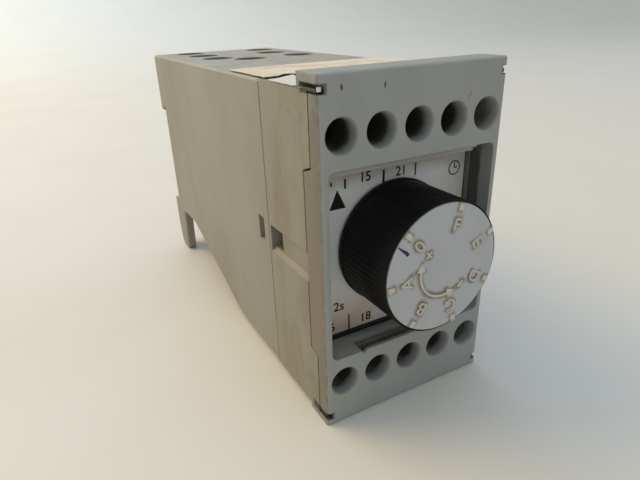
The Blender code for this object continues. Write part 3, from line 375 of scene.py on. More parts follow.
def moulded(node: str, name: str, finish: "Finish", body: str, rounding: float) -> None:
    """Show a frame node as a copy of its solid with rounded edges.

    Args:
        node: The frame's node.
        name: The copy's name.
        finish: Its finish.
        body: The body that carries it.
        rounding: Width of the rounding in metres.
    """
    piece = copy_of(node, name)
    soften(piece, rounding)
    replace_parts(dress(piece, finish, body), node)


# ---------------------------------------------------------------- shader groups

class Wiring:
    """Adds nodes to a tree and joins them."""

    def __init__(self, tree: Tree) -> None:
        """Work on this tree.

        Args:
            tree: A material's or a group's tree.
        """
        self.tree = tree

    def add(self, kind: str, inputs: dict[str | int, object] | None = None,
            **settings: object) -> bpy.types.Node:
        """Add a node.

        Args:
            kind: The node's type without the ShaderNode prefix.
            inputs: Values or sockets for its inputs, by name or number.
            settings: Properties of the node.

        Returns:
            The node.
        """
        node = self.tree.nodes.new(kind if kind.startswith("Node") else f"ShaderNode{kind}")
        for key, value in settings.items():
            setattr(node, key, value)
        for key, value in (inputs or {}).items():
            if isinstance(value, Feed):
                self.tree.links.new(value, node.inputs[key])
            else:
                node.inputs[key].default_value = value
        return node

    def group(self, name: str, inputs: dict[str | int, object]) -> bpy.types.Node:
        """Add one of the shared effects."""
        return self.add("Group", inputs, node_tree=Effects.get(name))

    def math(self, operation: str, *values: object, clamp: bool = False) -> Feed:
        """Add a Math node and return its result."""
        return self.add("Math", dict(enumerate(values)), operation=operation, use_clamp=clamp).outputs[0]

    def times(self, first: object, second: object, clamp: bool = False) -> Feed:
        """Multiply two values."""
        return self.math("MULTIPLY", first, second, clamp=clamp)

    def vector(self, operation: str, *values: object) -> bpy.types.Node:
        """Add a Vector Math node."""
        return self.add("VectorMath", dict(enumerate(values)), operation=operation)

    def place_on(self) -> Feed:
        """Return the place on the object, in metres."""
        return self.add("TexCoord").outputs["Object"]

    def noise(self, where: object, scale: object, detail: float, roughness: float = 0.5,
              distortion: float = 0.0) -> Feed:
        """Add a noise texture and return its value."""
        return self.add("TexNoise", {
            "Vector": where, "Scale": scale, "Detail": detail, "Roughness": roughness,
            "Distortion": distortion}).outputs["Fac"]

    def ramp(self, value: object, low: float, high: float) -> Feed:
        """Turn low..high of a value into 0..1, clamped and smooth."""
        return self.add("MapRange", {0: value, 1: low, 2: high, 3: 0.0, 4: 1.0},
                        interpolation_type="SMOOTHSTEP").outputs[0]

    def blend(self, factor: object, first: object, second: object, mode: str = "MIX") -> Feed:
        """Mix two colours."""
        return self.add("Mix", {0: factor, 6: first, 7: second}, data_type="RGBA", blend_type=mode).outputs[2]


class Socket(Enum):
    """The kinds of socket that a shader group has."""

    NUMBER = "NodeSocketFloat"
    COLOUR = "NodeSocketColor"
    VECTOR = "NodeSocketVector"

    @classmethod
    def of(cls, value: float | tuple[float, ...]) -> "Socket":
        """Return the kind that a value needs."""
        if isinstance(value, float):
            return cls.NUMBER
        return cls.COLOUR if len(value) == 4 else cls.VECTOR


class Group(Wiring):
    """A shader group and what goes in and out of it."""

    def __init__(self, name: str, inputs: dict[str, float | tuple[float, ...]]) -> None:
        """Start a group.

        Args:
            name: Its name.
            inputs: Each input's default, which also says its kind.
        """
        super().__init__(bpy.data.node_groups.new(name, "ShaderNodeTree"))
        for label, default in inputs.items():
            kind = Socket.of(default).value
            socket = self.tree.interface.new_socket(label, in_out="INPUT", socket_type=kind)
            socket.default_value = default
        self.given = {socket.name: socket for socket in self.add("NodeGroupInput").outputs}

    def finish(self, outputs: dict[str, tuple[Socket, Feed]]) -> Tree:
        """Join the outputs.

        Args:
            outputs: Each output's kind and the socket that feeds it.

        Returns:
            The finished group.
        """
        for label, (kind, _) in outputs.items():
            self.tree.interface.new_socket(label, in_out="OUTPUT", socket_type=kind.value)
        self.add("NodeGroupOutput", {label: feed for label, (_, feed) in outputs.items()})
        return self.tree

    def mask(self, feed: Feed) -> Tree:
        """Finish a group that puts out a mask."""
        return self.finish({"Mask": (Socket.NUMBER, feed)})


class Effects:
    """The surface effects that several finishes share, each built once."""

    _built: dict[str, Tree] = {}

    @classmethod
    def get(cls, name: str) -> Tree:
        """Return a group by name, building it the first time."""
        if name not in cls._built:
            cls._built[name] = getattr(cls, f"_{name}")()
        return cls._built[name]

    @staticmethod
    def _mottle() -> Tree:
        """Uneven colour: broad patches, fine grain and small specks."""
        wire = Group("mottle", {
            "Base": (0.5, 0.5, 0.5, 1.0), "Patch": (0.4, 0.4, 0.4, 1.0),
            "Patch Size": 12 * MM, "Patch Amount": 0.4, "Grain Size": 0.4 * MM, "Grain Amount": 0.1,
            "Speck Size": 2 * MM, "Speck Amount": 0.1})
        given, place_on = wire.given, wire.place_on()
        patch_scale, grain_scale, speck_scale = (
            wire.math("DIVIDE", 1.0, given[f"{kind} Size"]) for kind in ("Patch", "Grain", "Speck"))
        upright = wire.vector("MULTIPLY", place_on, (1.0, 1.0, 0.35)).outputs[0]
        patches = wire.ramp(wire.noise(upright, patch_scale, 5.0, 0.62, 0.4), 0.38, 0.72)
        grain = wire.noise(place_on, grain_scale, 3.0, 0.7)
        cells = wire.add("TexVoronoi", {"Vector": place_on, "Scale": speck_scale})
        draw = wire.add("SeparateColor", {0: cells.outputs["Color"]}).outputs[0]
        chosen = wire.math("GREATER_THAN", draw, wire.math("SUBTRACT", 1.0, given["Speck Amount"]))
        dot = wire.math("SUBTRACT", 1.0, wire.ramp(cells.outputs["Distance"], 0.10, 0.24))
        toned = wire.blend(wire.times(patches, given["Patch Amount"]), given["Base"], given["Patch"])
        shade = wire.math("ADD", 1.0, wire.times(wire.math("SUBTRACT", grain, 0.5), given["Grain Amount"]))
        grey = wire.add("CombineColor", {0: shade, 1: shade, 2: shade}).outputs[0]
        grained = wire.blend(1.0, toned, grey, "MULTIPLY")
        specked = wire.blend(wire.times(wire.times(chosen, dot), 0.42), grained, (0.10, 0.08, 0.06, 1.0))
        return wire.finish({"Colour": (Socket.COLOUR, specked), "Height": (Socket.NUMBER, grain),
                            "Patches": (Socket.NUMBER, patches)})

    @staticmethod
    def _crevice() -> Tree:
        """Dirt that gathers where surfaces meet. Puts out a mask."""
        wire = Group("crevice", {"Reach": 0.002, "Amount": 0.5})
        shut_in = wire.add("AmbientOcclusion", {"Distance": wire.given["Reach"]}, samples=6, only_local=True)
        depth = wire.math("SUBTRACT", 1.0, shut_in.outputs["AO"])
        uneven = wire.ramp(wire.noise(wire.place_on(), 420.0, 4.0, 0.65), 0.25, 0.75)
        amount = wire.times(wire.given["Amount"], 2.6)
        return wire.mask(wire.times(wire.times(depth, uneven), amount, clamp=True))

    @staticmethod
    def _rubbed_edge_and_highlight() -> Tree:
        """Outer edges rubbed by handling and lightened as a painted highlight. Puts out a mask."""
        wire = Group("rubbed_edge_and_highlight", {"Width": 0.0006, "Amount": 0.5})
        thin = wire.add("AmbientOcclusion", {"Distance": wire.given["Width"]}, samples=6, inside=True,
                        only_local=True).outputs["AO"]
        edge = wire.ramp(wire.math("SUBTRACT", 1.0, thin), 0.30, 0.75)
        uneven = wire.ramp(wire.noise(wire.place_on(), 300.0, 5.0, 0.7), 0.30, 0.62)
        return wire.mask(wire.times(wire.times(edge, uneven), wire.given["Amount"], clamp=True))

    @staticmethod
    def _dust() -> Tree:
        """Dust that has settled on upward faces. Puts out a mask."""
        wire = Group("dust", {"Amount": 0.5})
        upward = wire.add("SeparateXYZ", {0: wire.add("NewGeometry").outputs["Normal"]}).outputs[2]
        uneven = wire.ramp(wire.noise(wire.place_on(), 160.0, 5.0, 0.65), 0.2, 0.7)
        settled = wire.times(wire.ramp(upward, 0.5, 0.95), uneven)
        return wire.mask(wire.times(settled, wire.given["Amount"], clamp=True))

    @staticmethod
    def _shade_and_stain_box() -> Tree:
        """A box with soft sides, for painted shade and for stains. Puts out a mask."""
        wire = Group("shade_and_stain_box", {"Centre": (0.0, 0.0, 0.0), "Half": (MM, MM, MM), "Core": 0.75})
        place_on = wire.place_on()
        offset = wire.vector("SUBTRACT", place_on, wire.given["Centre"]).outputs[0]
        scaled = wire.vector("DIVIDE", offset, wire.given["Half"]).outputs[0]
        across, deep, up = wire.add("SeparateXYZ", {0: wire.vector("ABSOLUTE", scaled).outputs[0]}).outputs
        furthest = wire.math("MAXIMUM", across, wire.math("MAXIMUM", deep, up))
        wander = wire.times(wire.math("SUBTRACT", wire.noise(place_on, 500.0, 3.0), 0.5), 0.3)
        fade = wire.add("MapRange", {0: wire.math("ADD", furthest, wander), 1: wire.given["Core"], 2: 1.1,
                                     3: 0.85, 4: 0.0}, interpolation_type="SMOOTHSTEP")
        return wire.mask(fade.outputs[0])

    @staticmethod
    def _scuff() -> Tree:
        """One short scuff: an uneven ellipse round a point. Puts out a mask."""
        wire = Group("scuff", {"Centre": (0.0, 0.0, 0.0), "Size": (MM, MM, MM), "Turn": 0.0})
        place_on = wire.place_on()
        offset = wire.vector("SUBTRACT", place_on, wire.given["Centre"]).outputs[0]
        swung = wire.add("VectorRotate", {"Vector": offset, "Angle": wire.given["Turn"]},
                         rotation_type="Y_AXIS").outputs[0]
        scaled = wire.vector("DIVIDE", swung, wire.given["Size"]).outputs[0]
        length = wire.vector("LENGTH", scaled).outputs["Value"]
        wander = wire.times(wire.math("SUBTRACT", wire.noise(place_on, 1500.0, 3.0), 0.5), 1.6)
        return wire.mask(wire.math("SUBTRACT", 1.0, wire.ramp(wire.math("ADD", length, wander), 0.45, 1.0)))


# ---------------------------------------------------------------- finishes

DUST = tint(186, 178, 158)


@dataclass(frozen=True)
class Finish:
    """A surface finish.

    Attributes:
        name: The material's name.
        slot: The record's material slot. Not used.
        base: Main colour.
        roughness: Mean roughness.
        metallic: 1 for metal.
        patch: The broad patches' colour, size in metres and amount from 0 to 1, or nothing for a darker base.
        grain: Size of the fine grain in metres, and how far it changes the shade.
        speck: Spacing of small specks in metres, and the share of places that have one.
        bump: Height of the grain in metres.
        grime: Colour of dirt in corners, how far it shows and how far it spreads in metres.
        rub_and_highlight: Colour of the edges, worn and painted as highlights, and how far it shows.
        scuffs: Places, half sizes and turns of single marks.
        coat: Weight of a clear coat.
        gloss: Strength of the plain reflection.
        dust: How far dust shows on upward faces.
        shade_and_stain_boxes: Middles, half sizes and colours of boxes in which painted shade and stains are
            laid on the surface.
        shade_and_stain_core: Share of a box's half size over which its colour is even.
        soil: A point attribute that says how soiled each place is, or nothing.
    """

    name: str
    slot: str
    base: Colour
    roughness: float = 0.5
    metallic: float = 0.0
    patch: tuple[Colour, float, float] | None = None
    grain: tuple[float, float] = (0.4 * MM, 0.12)
    speck: tuple[float, float] = (2.2 * MM, 0.0)
    bump: float = 0.01 * MM
    grime: tuple[Colour, float, float] = (tint(92, 78, 58), 0.0, 1.5 * MM)
    rub_and_highlight: tuple[Colour, float] = (tint(225, 220, 205), 0.0)
    scuffs: tuple[Scuff, ...] = ()
    coat: float = 0.0
    gloss: float = 0.5
    dust: float = 0.0
    shade_and_stain_boxes: tuple[ShadeAndStainBox, ...] = ()
    shade_and_stain_core: float = 0.75
    soil: str = ""

    def material(self) -> bpy.types.Material:
        """Return the material, building it the first time."""
        known = bpy.data.materials.get(self.name)
        if known:
            return known
        material = bpy.data.materials.new(self.name)
        material.use_nodes = True
        wire = Wiring(material.node_tree)
        shader = material.node_tree.nodes["Principled BSDF"]
        colour, height, rough = self.surface(wire)
        wire.tree.links.new(colour, shader.inputs["Base Color"])
        wire.tree.links.new(rough, shader.inputs["Roughness"])
        shader.inputs["Metallic"].default_value = self.metallic
        shader.inputs["Coat Weight"].default_value = self.coat
        shader.inputs["Specular IOR Level"].default_value = self.gloss
        relief = wire.add("Bump", {"Strength": 0.7, "Distance": self.bump, "Height": height})
        wire.tree.links.new(relief.outputs[0], shader.inputs["Normal"])
        return material

    def surface(self, wire: Wiring) -> tuple[Feed, Feed, Feed]:
        """Wire the colour, height and roughness of this finish.

        Args:
            wire: The material's wiring.

        Returns:
            The colour, height and roughness sockets.
        """
        patch = self.patch or (tuple(channel * 0.8 for channel in self.base), 12 * MM, 0.4)
        mottle = wire.group("mottle", {
            "Base": (*self.base, 1.0), "Patch": (*patch[0], 1.0), "Patch Size": patch[1],
            "Patch Amount": patch[2], "Grain Size": self.grain[0], "Grain Amount": self.grain[1],
            "Speck Size": self.speck[0], "Speck Amount": self.speck[1]})
        swing = wire.times(wire.math("SUBTRACT", mottle.outputs["Patches"], 0.4), 0.12)
        rough = wire.math("ADD", self.roughness, swing, clamp=True)
        (rub_and_highlight_colour, rub_and_highlight_amount), (dirt, dirt_amount, dirt_reach) = self.rub_and_highlight, self.grime
        layers = []
        # Edges lightened by wear and as a painted highlight.
        if rub_and_highlight_amount:
            layers.append(("rubbed_edge_and_highlight", {"Width": 0.5 * MM, "Amount": rub_and_highlight_amount}, rub_and_highlight_colour))
        if dirt_amount:
            layers.append(("crevice", {"Reach": dirt_reach, "Amount": dirt_amount}, dirt))
        if self.dust:
            layers.append(("dust", {"Amount": self.dust}, DUST))
        # Boxes of painted shade and of stains.
        layers += [("shade_and_stain_box", {"Centre": centre, "Half": half, "Core": self.shade_and_stain_core}, shade)
                   for centre, half, shade in self.shade_and_stain_boxes]
        layers += [("scuff", {"Centre": centre, "Size": size, "Turn": turn}, shade)
                   for shade, centre, size, turn in self.scuffs]
        colour = mottle.outputs["Colour"]
        for effect, settings, shade in layers:
            colour = wire.blend(wire.group(effect, settings).outputs[0], colour, (*shade, 1.0))
        if self.soil:
            soiled = wire.ramp(wire.add("Attribute", attribute_name=self.soil).outputs["Fac"], 0.02, 0.8)
            colour = wire.blend(wire.times(soiled, 0.8), colour, (*dirt, 1.0))
        return colour, mottle.outputs["Height"], rough


# ---------------------------------------------------------------- housing

@dataclass
class Housing:
    """The three moulded shells of the timer.

    Attributes:
        edge: Rounding of the moulded edges in metres.
    """

    edge: float = 0.15 * MM

    def shade_and_stain_box(self) -> tuple[ShadeAndStainBox, ...]:
        """Return the boxes of painted shade: round the cover's corner notches and deep in its screw holes."""
        low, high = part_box("front_cover")
        # Near-black painted shade for the corner notches and the screw holes.
        black = tint(34, 29, 23)
        sides, ends = (low.x + 0.7 * MM, high.x - 0.7 * MM), (low.z + 2.6 * MM, high.z - 2.6 * MM)
        corners = [((x, low.y + 3.2 * MM, z), mm(1.2, 3.7, 1.0), black) for x in sides for z in ends]
        rows = [(((low.x + high.x) / 2, low.y + 9.6 * MM, z), mm(21, 7.4, 3.6), black)
                for z in (low.z + 11.1 * MM, high.z - 11.1 * MM)]
        return (*corners, *rows)

    def cover(self) -> Finish:
        """The cool grey cover, with a few scuffs above its screw holes, painted shade in its corner notches,
        screw holes and window well, and darker beige side faces.
        """
        low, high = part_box("front_cover")
        marks = tuple(
            (shade, (low.x + across * MM, low.y, high.z - down * MM), mm(wide, 1.0, tall), turn)
            for shade, across, down, wide, tall, turn in (
                (tint(70, 66, 60), 4.8, 2.6, 0.35, 0.9, 0.1), (tint(70, 66, 60), 14.0, 3.0, 0.3, 0.8, -0.1),
                (tint(140, 134, 122), 35.0, 6.8, 0.3, 1.4, -0.5),
                (tint(160, 156, 148), 10.2, 7.6, 0.25, 0.8, 0.4)))
        middle = 38.5 * MM
        # Painted shade on the rear part of the window well's right inner wall.
        wall = ((low.x + 43.3 * MM, low.y + 5.9 * MM, middle), mm(0.9, 2.6, 22), tint(44, 38, 30))
        # The side faces are painted a darker beige.
        flanks = tuple(((x, low.y + 4.9 * MM, middle), mm(0.35, 5.0, 41), tint(112, 99, 78))
                       for x in (low.x, high.x))
        return Finish("cover_plastic_grey", "cover_plastic", tint(159, 161, 156), roughness=0.42,
                      patch=(tint(150, 148, 138), 14 * MM, 0.45), grain=(0.35 * MM, 0.05),
                      speck=(2.6 * MM, 0.01), bump=0.006 * MM, grime=(tint(120, 104, 78), 0.45, 1.6 * MM),
                      rub_and_highlight=(tint(178, 176, 168), 0.35), scuffs=marks, shade_and_stain_boxes=(wall, *flanks, *self.shade_and_stain_box()))

    def casing(self) -> Finish:
        """The warm grey of the casing, with broad faint patches."""
        return Finish("casing_plastic_grey", "casing_plastic", tint(151, 147, 134), roughness=0.5,
                      patch=(tint(141, 134, 118), 26 * MM, 0.5), grain=(0.3 * MM, 0.10),
                      speck=(3.4 * MM, 0.05), bump=0.008 * MM, grime=(tint(110, 94, 70), 0.35, 1.4 * MM),
                      rub_and_highlight=(tint(168, 163, 150), 0.3), dust=0.75)

    def block(self) -> Finish:
        """The terminal block's plastic: as the casing's, but rougher and more soiled by handling, with
        painted shade in its notches and screw holes.
        """
        return Finish("block_plastic_grey", "casing_plastic", tint(147, 141, 125), roughness=0.55,
                      patch=(tint(128, 118, 97), 7 * MM, 0.5), grain=(0.4 * MM, 0.45),
                      speck=(1.1 * MM, 0.3), bump=0.02 * MM, grime=(tint(104, 86, 60), 0.5, 1.6 * MM),
                      rub_and_highlight=(tint(166, 158, 142), 0.3), dust=0.5, shade_and_stain_boxes=self.shade_and_stain_box())

    def catch_tip_highlight(self) -> None:
        """Make the near-white piece at the front end of the catch in the cover's upper left notch: a painted
        highlight.
        """
        low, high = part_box("front_cover")
        corner = Vector((low.x, low.y, high.z))
        tip = box("catch_tip_highlight", corner + Vector((0.25, 0.45, -3.05)) * MM,
                  corner + Vector((1.05, 0.8, -2.2)) * MM)
        soften(tip, 0.1 * MM)
        # Near-white painted highlight on the catch's tip.
        highlight_finish = Finish("highlight_plastic_pale", "casing_plastic", tint(236, 237, 236), roughness=0.3,
                      grain=(0.4 * MM, 0.1))
        dress(tip, highlight_finish, "housing")

    def build(self) -> None:
        """Make the cover, the block, the casing and the painted highlight on the catch."""
        for node, finish in (("front_cover", self.cover()), ("terminal_block", self.block()),
                             ("rear_casing", self.casing())):
            moulded(node, f"{node}_moulding", finish, "housing", self.edge)
        self.catch_tip_highlight()


# ---------------------------------------------------------------- scale plate

@dataclass
class ScalePlate:
    """The plate behind the knob and what is printed on it.

    Attributes:
        ink: Thickness of the print in metres.
        weight: How much the characters' strokes are fattened, in metres.
    """

    ink: float = 0.03 * MM
    weight: float = 0.05 * MM

    def __post_init__(self) -> None:
        """Take the plate's face and the cover's corner from the frame."""
        cover_low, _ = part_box("front_cover")
        plate_low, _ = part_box("scale_plate")
        self.left = cover_low.x
        self.face = plate_low.y

    def point(self, across: float, up: float) -> Vector:
        """Return a point on the plate from millimetres across from the left edge and up from the floor."""
        return Vector((self.left + across * MM, self.face, up * MM))

    def bar(self, left: float, right: float, low: float, high: float) -> Piece:
        """Print a rectangle between these millimetres."""
        return box("bar", self.point(left, low) - Vector((0, self.ink, 0)), self.point(right, high))

    def words(self, text: str, across: float, up: float, height: float) -> Piece:
        """Print characters centred at a place.

        Args:
            text: The characters.
            across: Millimetres from the left edge.
            up: Millimetres above the floor.
            height: Height in millimetres.

        Returns:
            The print.
        """
        piece = lettering(text, height * MM, self.ink, self.weight)
        place(piece, Matrix.Translation(self.point(across, up) - Vector((0, self.ink / 2, 0))) @ UPRIGHT)
        return piece

    def arrow(self) -> Piece:
        """Print the pointer: a tall triangle whose left corner runs under the cover."""
        piece = self.bar(6.25, 10.25, 48.75, 52.9)
        apex = self.point(8.25, 52.9)
        with editing(piece, "VERT") as shape:
            for vertex in shape.verts:
                vertex.select_set(vertex.co.z > apex.z - MM)
            shape.select_flush_mode()
            bmesh.update_edit_mesh(piece.data)
            bpy.ops.transform.resize(value=(0.02, 1.0, 1.0), center_override=apex)
        return piece

    def clock_sign(self) -> Piece:
        """Print a small generic clock: a ring with two hands."""
        centre = self.point(39.9, 52.4)
        deselect()
        bpy.ops.mesh.primitive_cylinder_add(
            vertices=40, radius=1.75 * MM, depth=self.ink, end_fill_type="NGON",
            location=centre - Vector((0, self.ink / 2, 0)), rotation=(math.pi / 2, 0, 0))
        ring = bpy.context.object
        apply_moves()
        with editing(ring) as shape:
            pick_faces(ring, shape, lambda middle, normal: abs(normal.y) > 0.9)
            bpy.ops.mesh.inset(thickness=0.3 * MM)
            bpy.ops.mesh.bridge_edge_loops()
        hands = [self.bar(39.75, 40.05, 52.3, 53.6), self.bar(39.85, 40.9, 52.3, 52.6)]
        return merge("clock_sign", [ring, *hands])

    def printed(self) -> Piece:
        """Print the ticks, lines, numbers and signs."""
        bars = [self.bar(*sides) for sides in (
            (6.65, 7.05, 53.9, 54.8), (9.9, 10.4, 52.9, 55.0), (19.55, 20.15, 52.5, 55.3),
            (28.25, 28.65, 52.6, 55.5), (10.55, 10.95, 18.2, 22.3))]
        # Black strip along the plate's lower edge, 1 mm proud over the slope: a printed bar and painted shade
        # of the gap below the plate.
        lower_bar_and_shadow_gap = box("bar", self.point(2.1, 17.45) - Vector((0, 1.0 * MM, 0)), self.point(42.8, 18.2))
        words = [self.words(*entry) for entry in (
            ("15", 15.15, 54.7, 2.1), ("21", 24.5, 54.4, 2.1), ("12s", 7.3, 25.3, 2.25),
            ("9", 5.4, 30.4, 2.2), ("6", 6.2, 20.2, 2.2), ("18", 15.35, 20.2, 2.2))]
        return merge("scale_print", [*bars, lower_bar_and_shadow_gap, *words, self.arrow(), self.clock_sign()])

    def ledge(self) -> Piece:
        """Make the thin ledge under the window's upper edge, its underside a little raised."""
        piece = box("window_ledge", self.point(2.0, 57.3) - Vector((0, 5.6 * MM, 0)),
                    self.point(39.6, 58.9) - Vector((0, 0.2 * MM, 0)))
        with editing(piece) as shape:
            pick_faces(piece, shape, lambda middle, normal: normal.z < -0.9)
            bpy.ops.transform.translate(value=(0.0, 0.0, 0.4 * MM))
        soften(piece, 0.15 * MM)
        return piece

    def build(self) -> None:
        """Make the plate, its print and the ledge."""
        white = Finish("plate_white", "plate_print", tint(240, 240, 236), roughness=0.38,
                       patch=(tint(222, 214, 194), 10 * MM, 0.35), grain=(0.4 * MM, 0.03),
                       speck=(2.4 * MM, 0.04), bump=0.003 * MM, grime=(tint(150, 130, 96), 0.3, 2.5 * MM),
                       shade_and_stain_core=0.1,
                       # The lower box tints the plate's lower left; the upper box is painted shadow under the
                       # ledge.
                       shade_and_stain_boxes=((tuple(self.point(8.0, 18.0)), mm(15, 4, 13), tint(206, 180, 152)),
                               (tuple(self.point(22.0, 58.0)), mm(26, 4, 5.5), tint(150, 124, 98))))
        moulded("scale_plate", "scale_plate_sheet", white, "housing", 0.08 * MM)
        ink = Finish("print_black", "plate_print", tint(16, 15, 16), roughness=0.45, grain=(0.4 * MM, 0.15),
                     bump=0.002 * MM)
        dress(self.printed(), ink, "housing")
        # A lighter copy of the cover's grey: light on the ledge is painted into its colour.
        pale = Finish("ledge_plastic_lit_grey", "cover_plastic", tint(168, 169, 164), roughness=0.42,
                      patch=(tint(158, 155, 145), 8 * MM, 0.4), grain=(0.4 * MM, 0.05), bump=0.006 * MM)
        dress(self.ledge(), pale, "housing")


# ---------------------------------------------------------------- setting knob

@dataclass
class SettingKnob:
    """The fluted knob, its pale cap and the raised marks on the cap.

    Attributes:
        flutes: Number of fine flutes round the grip.
        flute_depth: Depth of a flute in metres.
        corners: Mesh corners across one flute.
        mark_height: How far the marks stand off the cap in metres.
        arrow_radius: Radius of the arched double arrow in metres.
        letter_radius: Distance of the letters from the cap's centre in metres.
        tick_radius: Distance of the ticks from the cap's centre in metres.
        first_angle: Where the zero stands, in degrees anticlockwise from the right.
        angle_step: Degrees from one letter to the next.
        cap_depth: How far the cap's face stands before its back in metres.
    """

    flutes: int = 72
    flute_depth: float = 0.14 * MM
    corners: int = 4
    mark_height: float = 0.32 * MM
    arrow_radius: float = 6.0 * MM
    letter_radius: float = 9.4 * MM
    tick_radius: float = 13.0 * MM
    first_angle: float = 135.0
    angle_step: float = 50.0
    cap_depth: float = 1.4 * MM

    def __post_init__(self) -> None:
        """Take the knob's and the cap's sizes from the frame."""
        self.low, self.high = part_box("knob")
        cap_low, cap_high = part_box("knob_cap")
        self.axis = (self.low + self.high) / 2
        self.radius = (self.high.z - self.low.z) / 2
        self.cap_radius = (cap_high.z - cap_low.z) / 2
        self.cap_face = cap_high.y - self.cap_depth
        self.cap_back = cap_high.y

    def grip(self) -> Piece:
        """Turn the grip with its pocket, hub and flutes."""
        front, back = self.low.y, self.high.y
        rim = self.cap_radius + 0.1 * MM
        body = self.radius - 0.25 * MM
        floor = self.cap_back + 0.3 * MM
        web = floor + 2.2 * MM
        wall = self.radius - 1.5 * MM
        hub, bore = 4.8 * MM, 3.3 * MM
        stations = [Station(*figures) for figures in (
            (floor, MM), (floor, rim), (front + 0.15 * MM, rim), (front, rim + 0.1 * MM),
            (front, body - 0.12 * MM), (front + 0.15 * MM, body), (front + 0.5 * MM, body),
            (front + 0.75 * MM, body, True), (back - 1.3 * MM, body, True), (back - 1.1 * MM, body),
            (back - 0.9 * MM, self.radius), (back - 0.15 * MM, self.radius),
            (back, self.radius - 0.15 * MM), (back, wall), (web, wall), (web, hub), (back - 2.5 * MM, hub),
            (back - 2.5 * MM, bore), (front + 4.0 * MM, bore))]
        piece = turned("knob_grip", self.axis, stations, self.flutes * self.corners)
        fluted = {round(station.along, 7) for station in stations if station.fluted}
        with editing(piece, "VERT") as shape:
            for vertex in shape.verts:
                offset = vertex.co - self.axis
                corner = round(math.atan2(offset.z, offset.x) / math.tau * self.flutes * self.corners)
                outer = math.hypot(offset.x, offset.z) > self.radius - MM / 2
                vertex.select_set(outer and round(vertex.co.y, 7) in fluted and corner % self.corners == 0)
            bmesh.update_edit_mesh(piece.data)
            factor = (body - self.flute_depth) / body
            bpy.ops.transform.resize(value=(factor, 1.0, factor), center_override=self.axis)
        smooth(piece, 30.0)
        return piece

    def on_cap(self, radius: float, angle: float, rise: float = 0.0) -> Matrix:
        """Return where a mark goes.

        Args:
            radius: Distance from the cap's centre in metres.
            angle: Degrees anticlockwise from the right, seen from the front.
            rise: How far its middle stands off the cap's face in metres.

        Returns:
            The matrix that takes a mark from the X-Y plane to the cap, its top outwards.
        """
        around = Matrix.Rotation(-math.radians(angle - 90.0), 4, "Y")
        centre = Vector((self.axis.x, self.cap_face - rise, self.axis.z))
        return Matrix.Translation(centre) @ around @ Matrix.Translation((0.0, 0.0, radius)) @ UPRIGHT

    def arched_arrow(self) -> Piece:
        """Make the double-headed arrow that bends round the cap's centre."""
        start, end, half = math.radians(172), math.radians(281), 0.24 * MM
        steps = 24
        deselect()
        bpy.ops.mesh.primitive_plane_add(size=1.0)
        piece = bpy.context.object
        with editing(piece) as shape:
            shape.clear()
            bpy.context.view_layer.update()
            rows = []
            for step in range(steps + 1):
                angle = start + (end - start) * step / steps
                rows.append([shape.verts.new((radius * math.cos(angle), radius * math.sin(angle), 0.0))
                             for radius in (self.arrow_radius - half, self.arrow_radius + half)])
            for before, after in zip(rows, rows[1:]):
                shape.faces.new((before[0], after[0], after[1], before[1]))
            for angle, forward in ((start, -1.0), (end, 1.0)):
                out = Vector((math.cos(angle), math.sin(angle), 0.0))
                ahead = Vector((-math.sin(angle), math.cos(angle), 0.0)) * forward
                foot = out * self.arrow_radius
                corners = (foot - out * 1.05 * MM, foot + out * 1.05 * MM, foot + ahead * 2.0 * MM)
                shape.faces.new([shape.verts.new(corner) for corner in corners])
            bmesh.update_edit_mesh(piece.data)
            face_outwards()
            bpy.ops.mesh.extrude_region_move(TRANSFORM_OT_translate={"value": (0.0, 0.0, self.mark_height)})
            face_outwards()
        place(piece, Matrix.Translation((self.axis.x, self.cap_face, self.axis.z)) @ UPRIGHT)
        return piece

    def marks(self) -> Piece:
        """Make the ticks, letters, signs and arrow in one raised piece."""
        pieces = []
        for count, letter in enumerate("0ABCDEF"):
            angle = self.first_angle + self.angle_step * count
            pieces += [self.raised(letter, self.letter_radius, angle, 2.7 * MM),
                       self.dash("tick", 0.55 * MM, 0.7 * MM, self.tick_radius, angle)]
        pieces += [self.raised("+", 5.9 * MM, self.first_angle, 2.6 * MM),
                   self.dash("minus", 0.85 * MM, 0.24 * MM, 6.6 * MM, 315), self.arched_arrow()]
        marks = merge("cap_marks", pieces)
        soften(marks, 0.05 * MM, 2, 50)
        return marks

    def dash(self, name: str, half_width: float, half_height: float, radius: float,
             angle: float) -> Piece:
        """Make one raised bar on the cap."""
        piece = box(name, (-half_width, -half_height, 0.0), (half_width, half_height, self.mark_height))
        place(piece, self.on_cap(radius, angle))
        return piece

    def raised(self, text: str, radius: float, angle: float, height: float) -> Piece:
        """Make one raised character on the cap."""
        piece = lettering(text, height, self.mark_height, 0.02 * MM)
        place(piece, self.on_cap(radius, angle, self.mark_height / 2))
        return piece

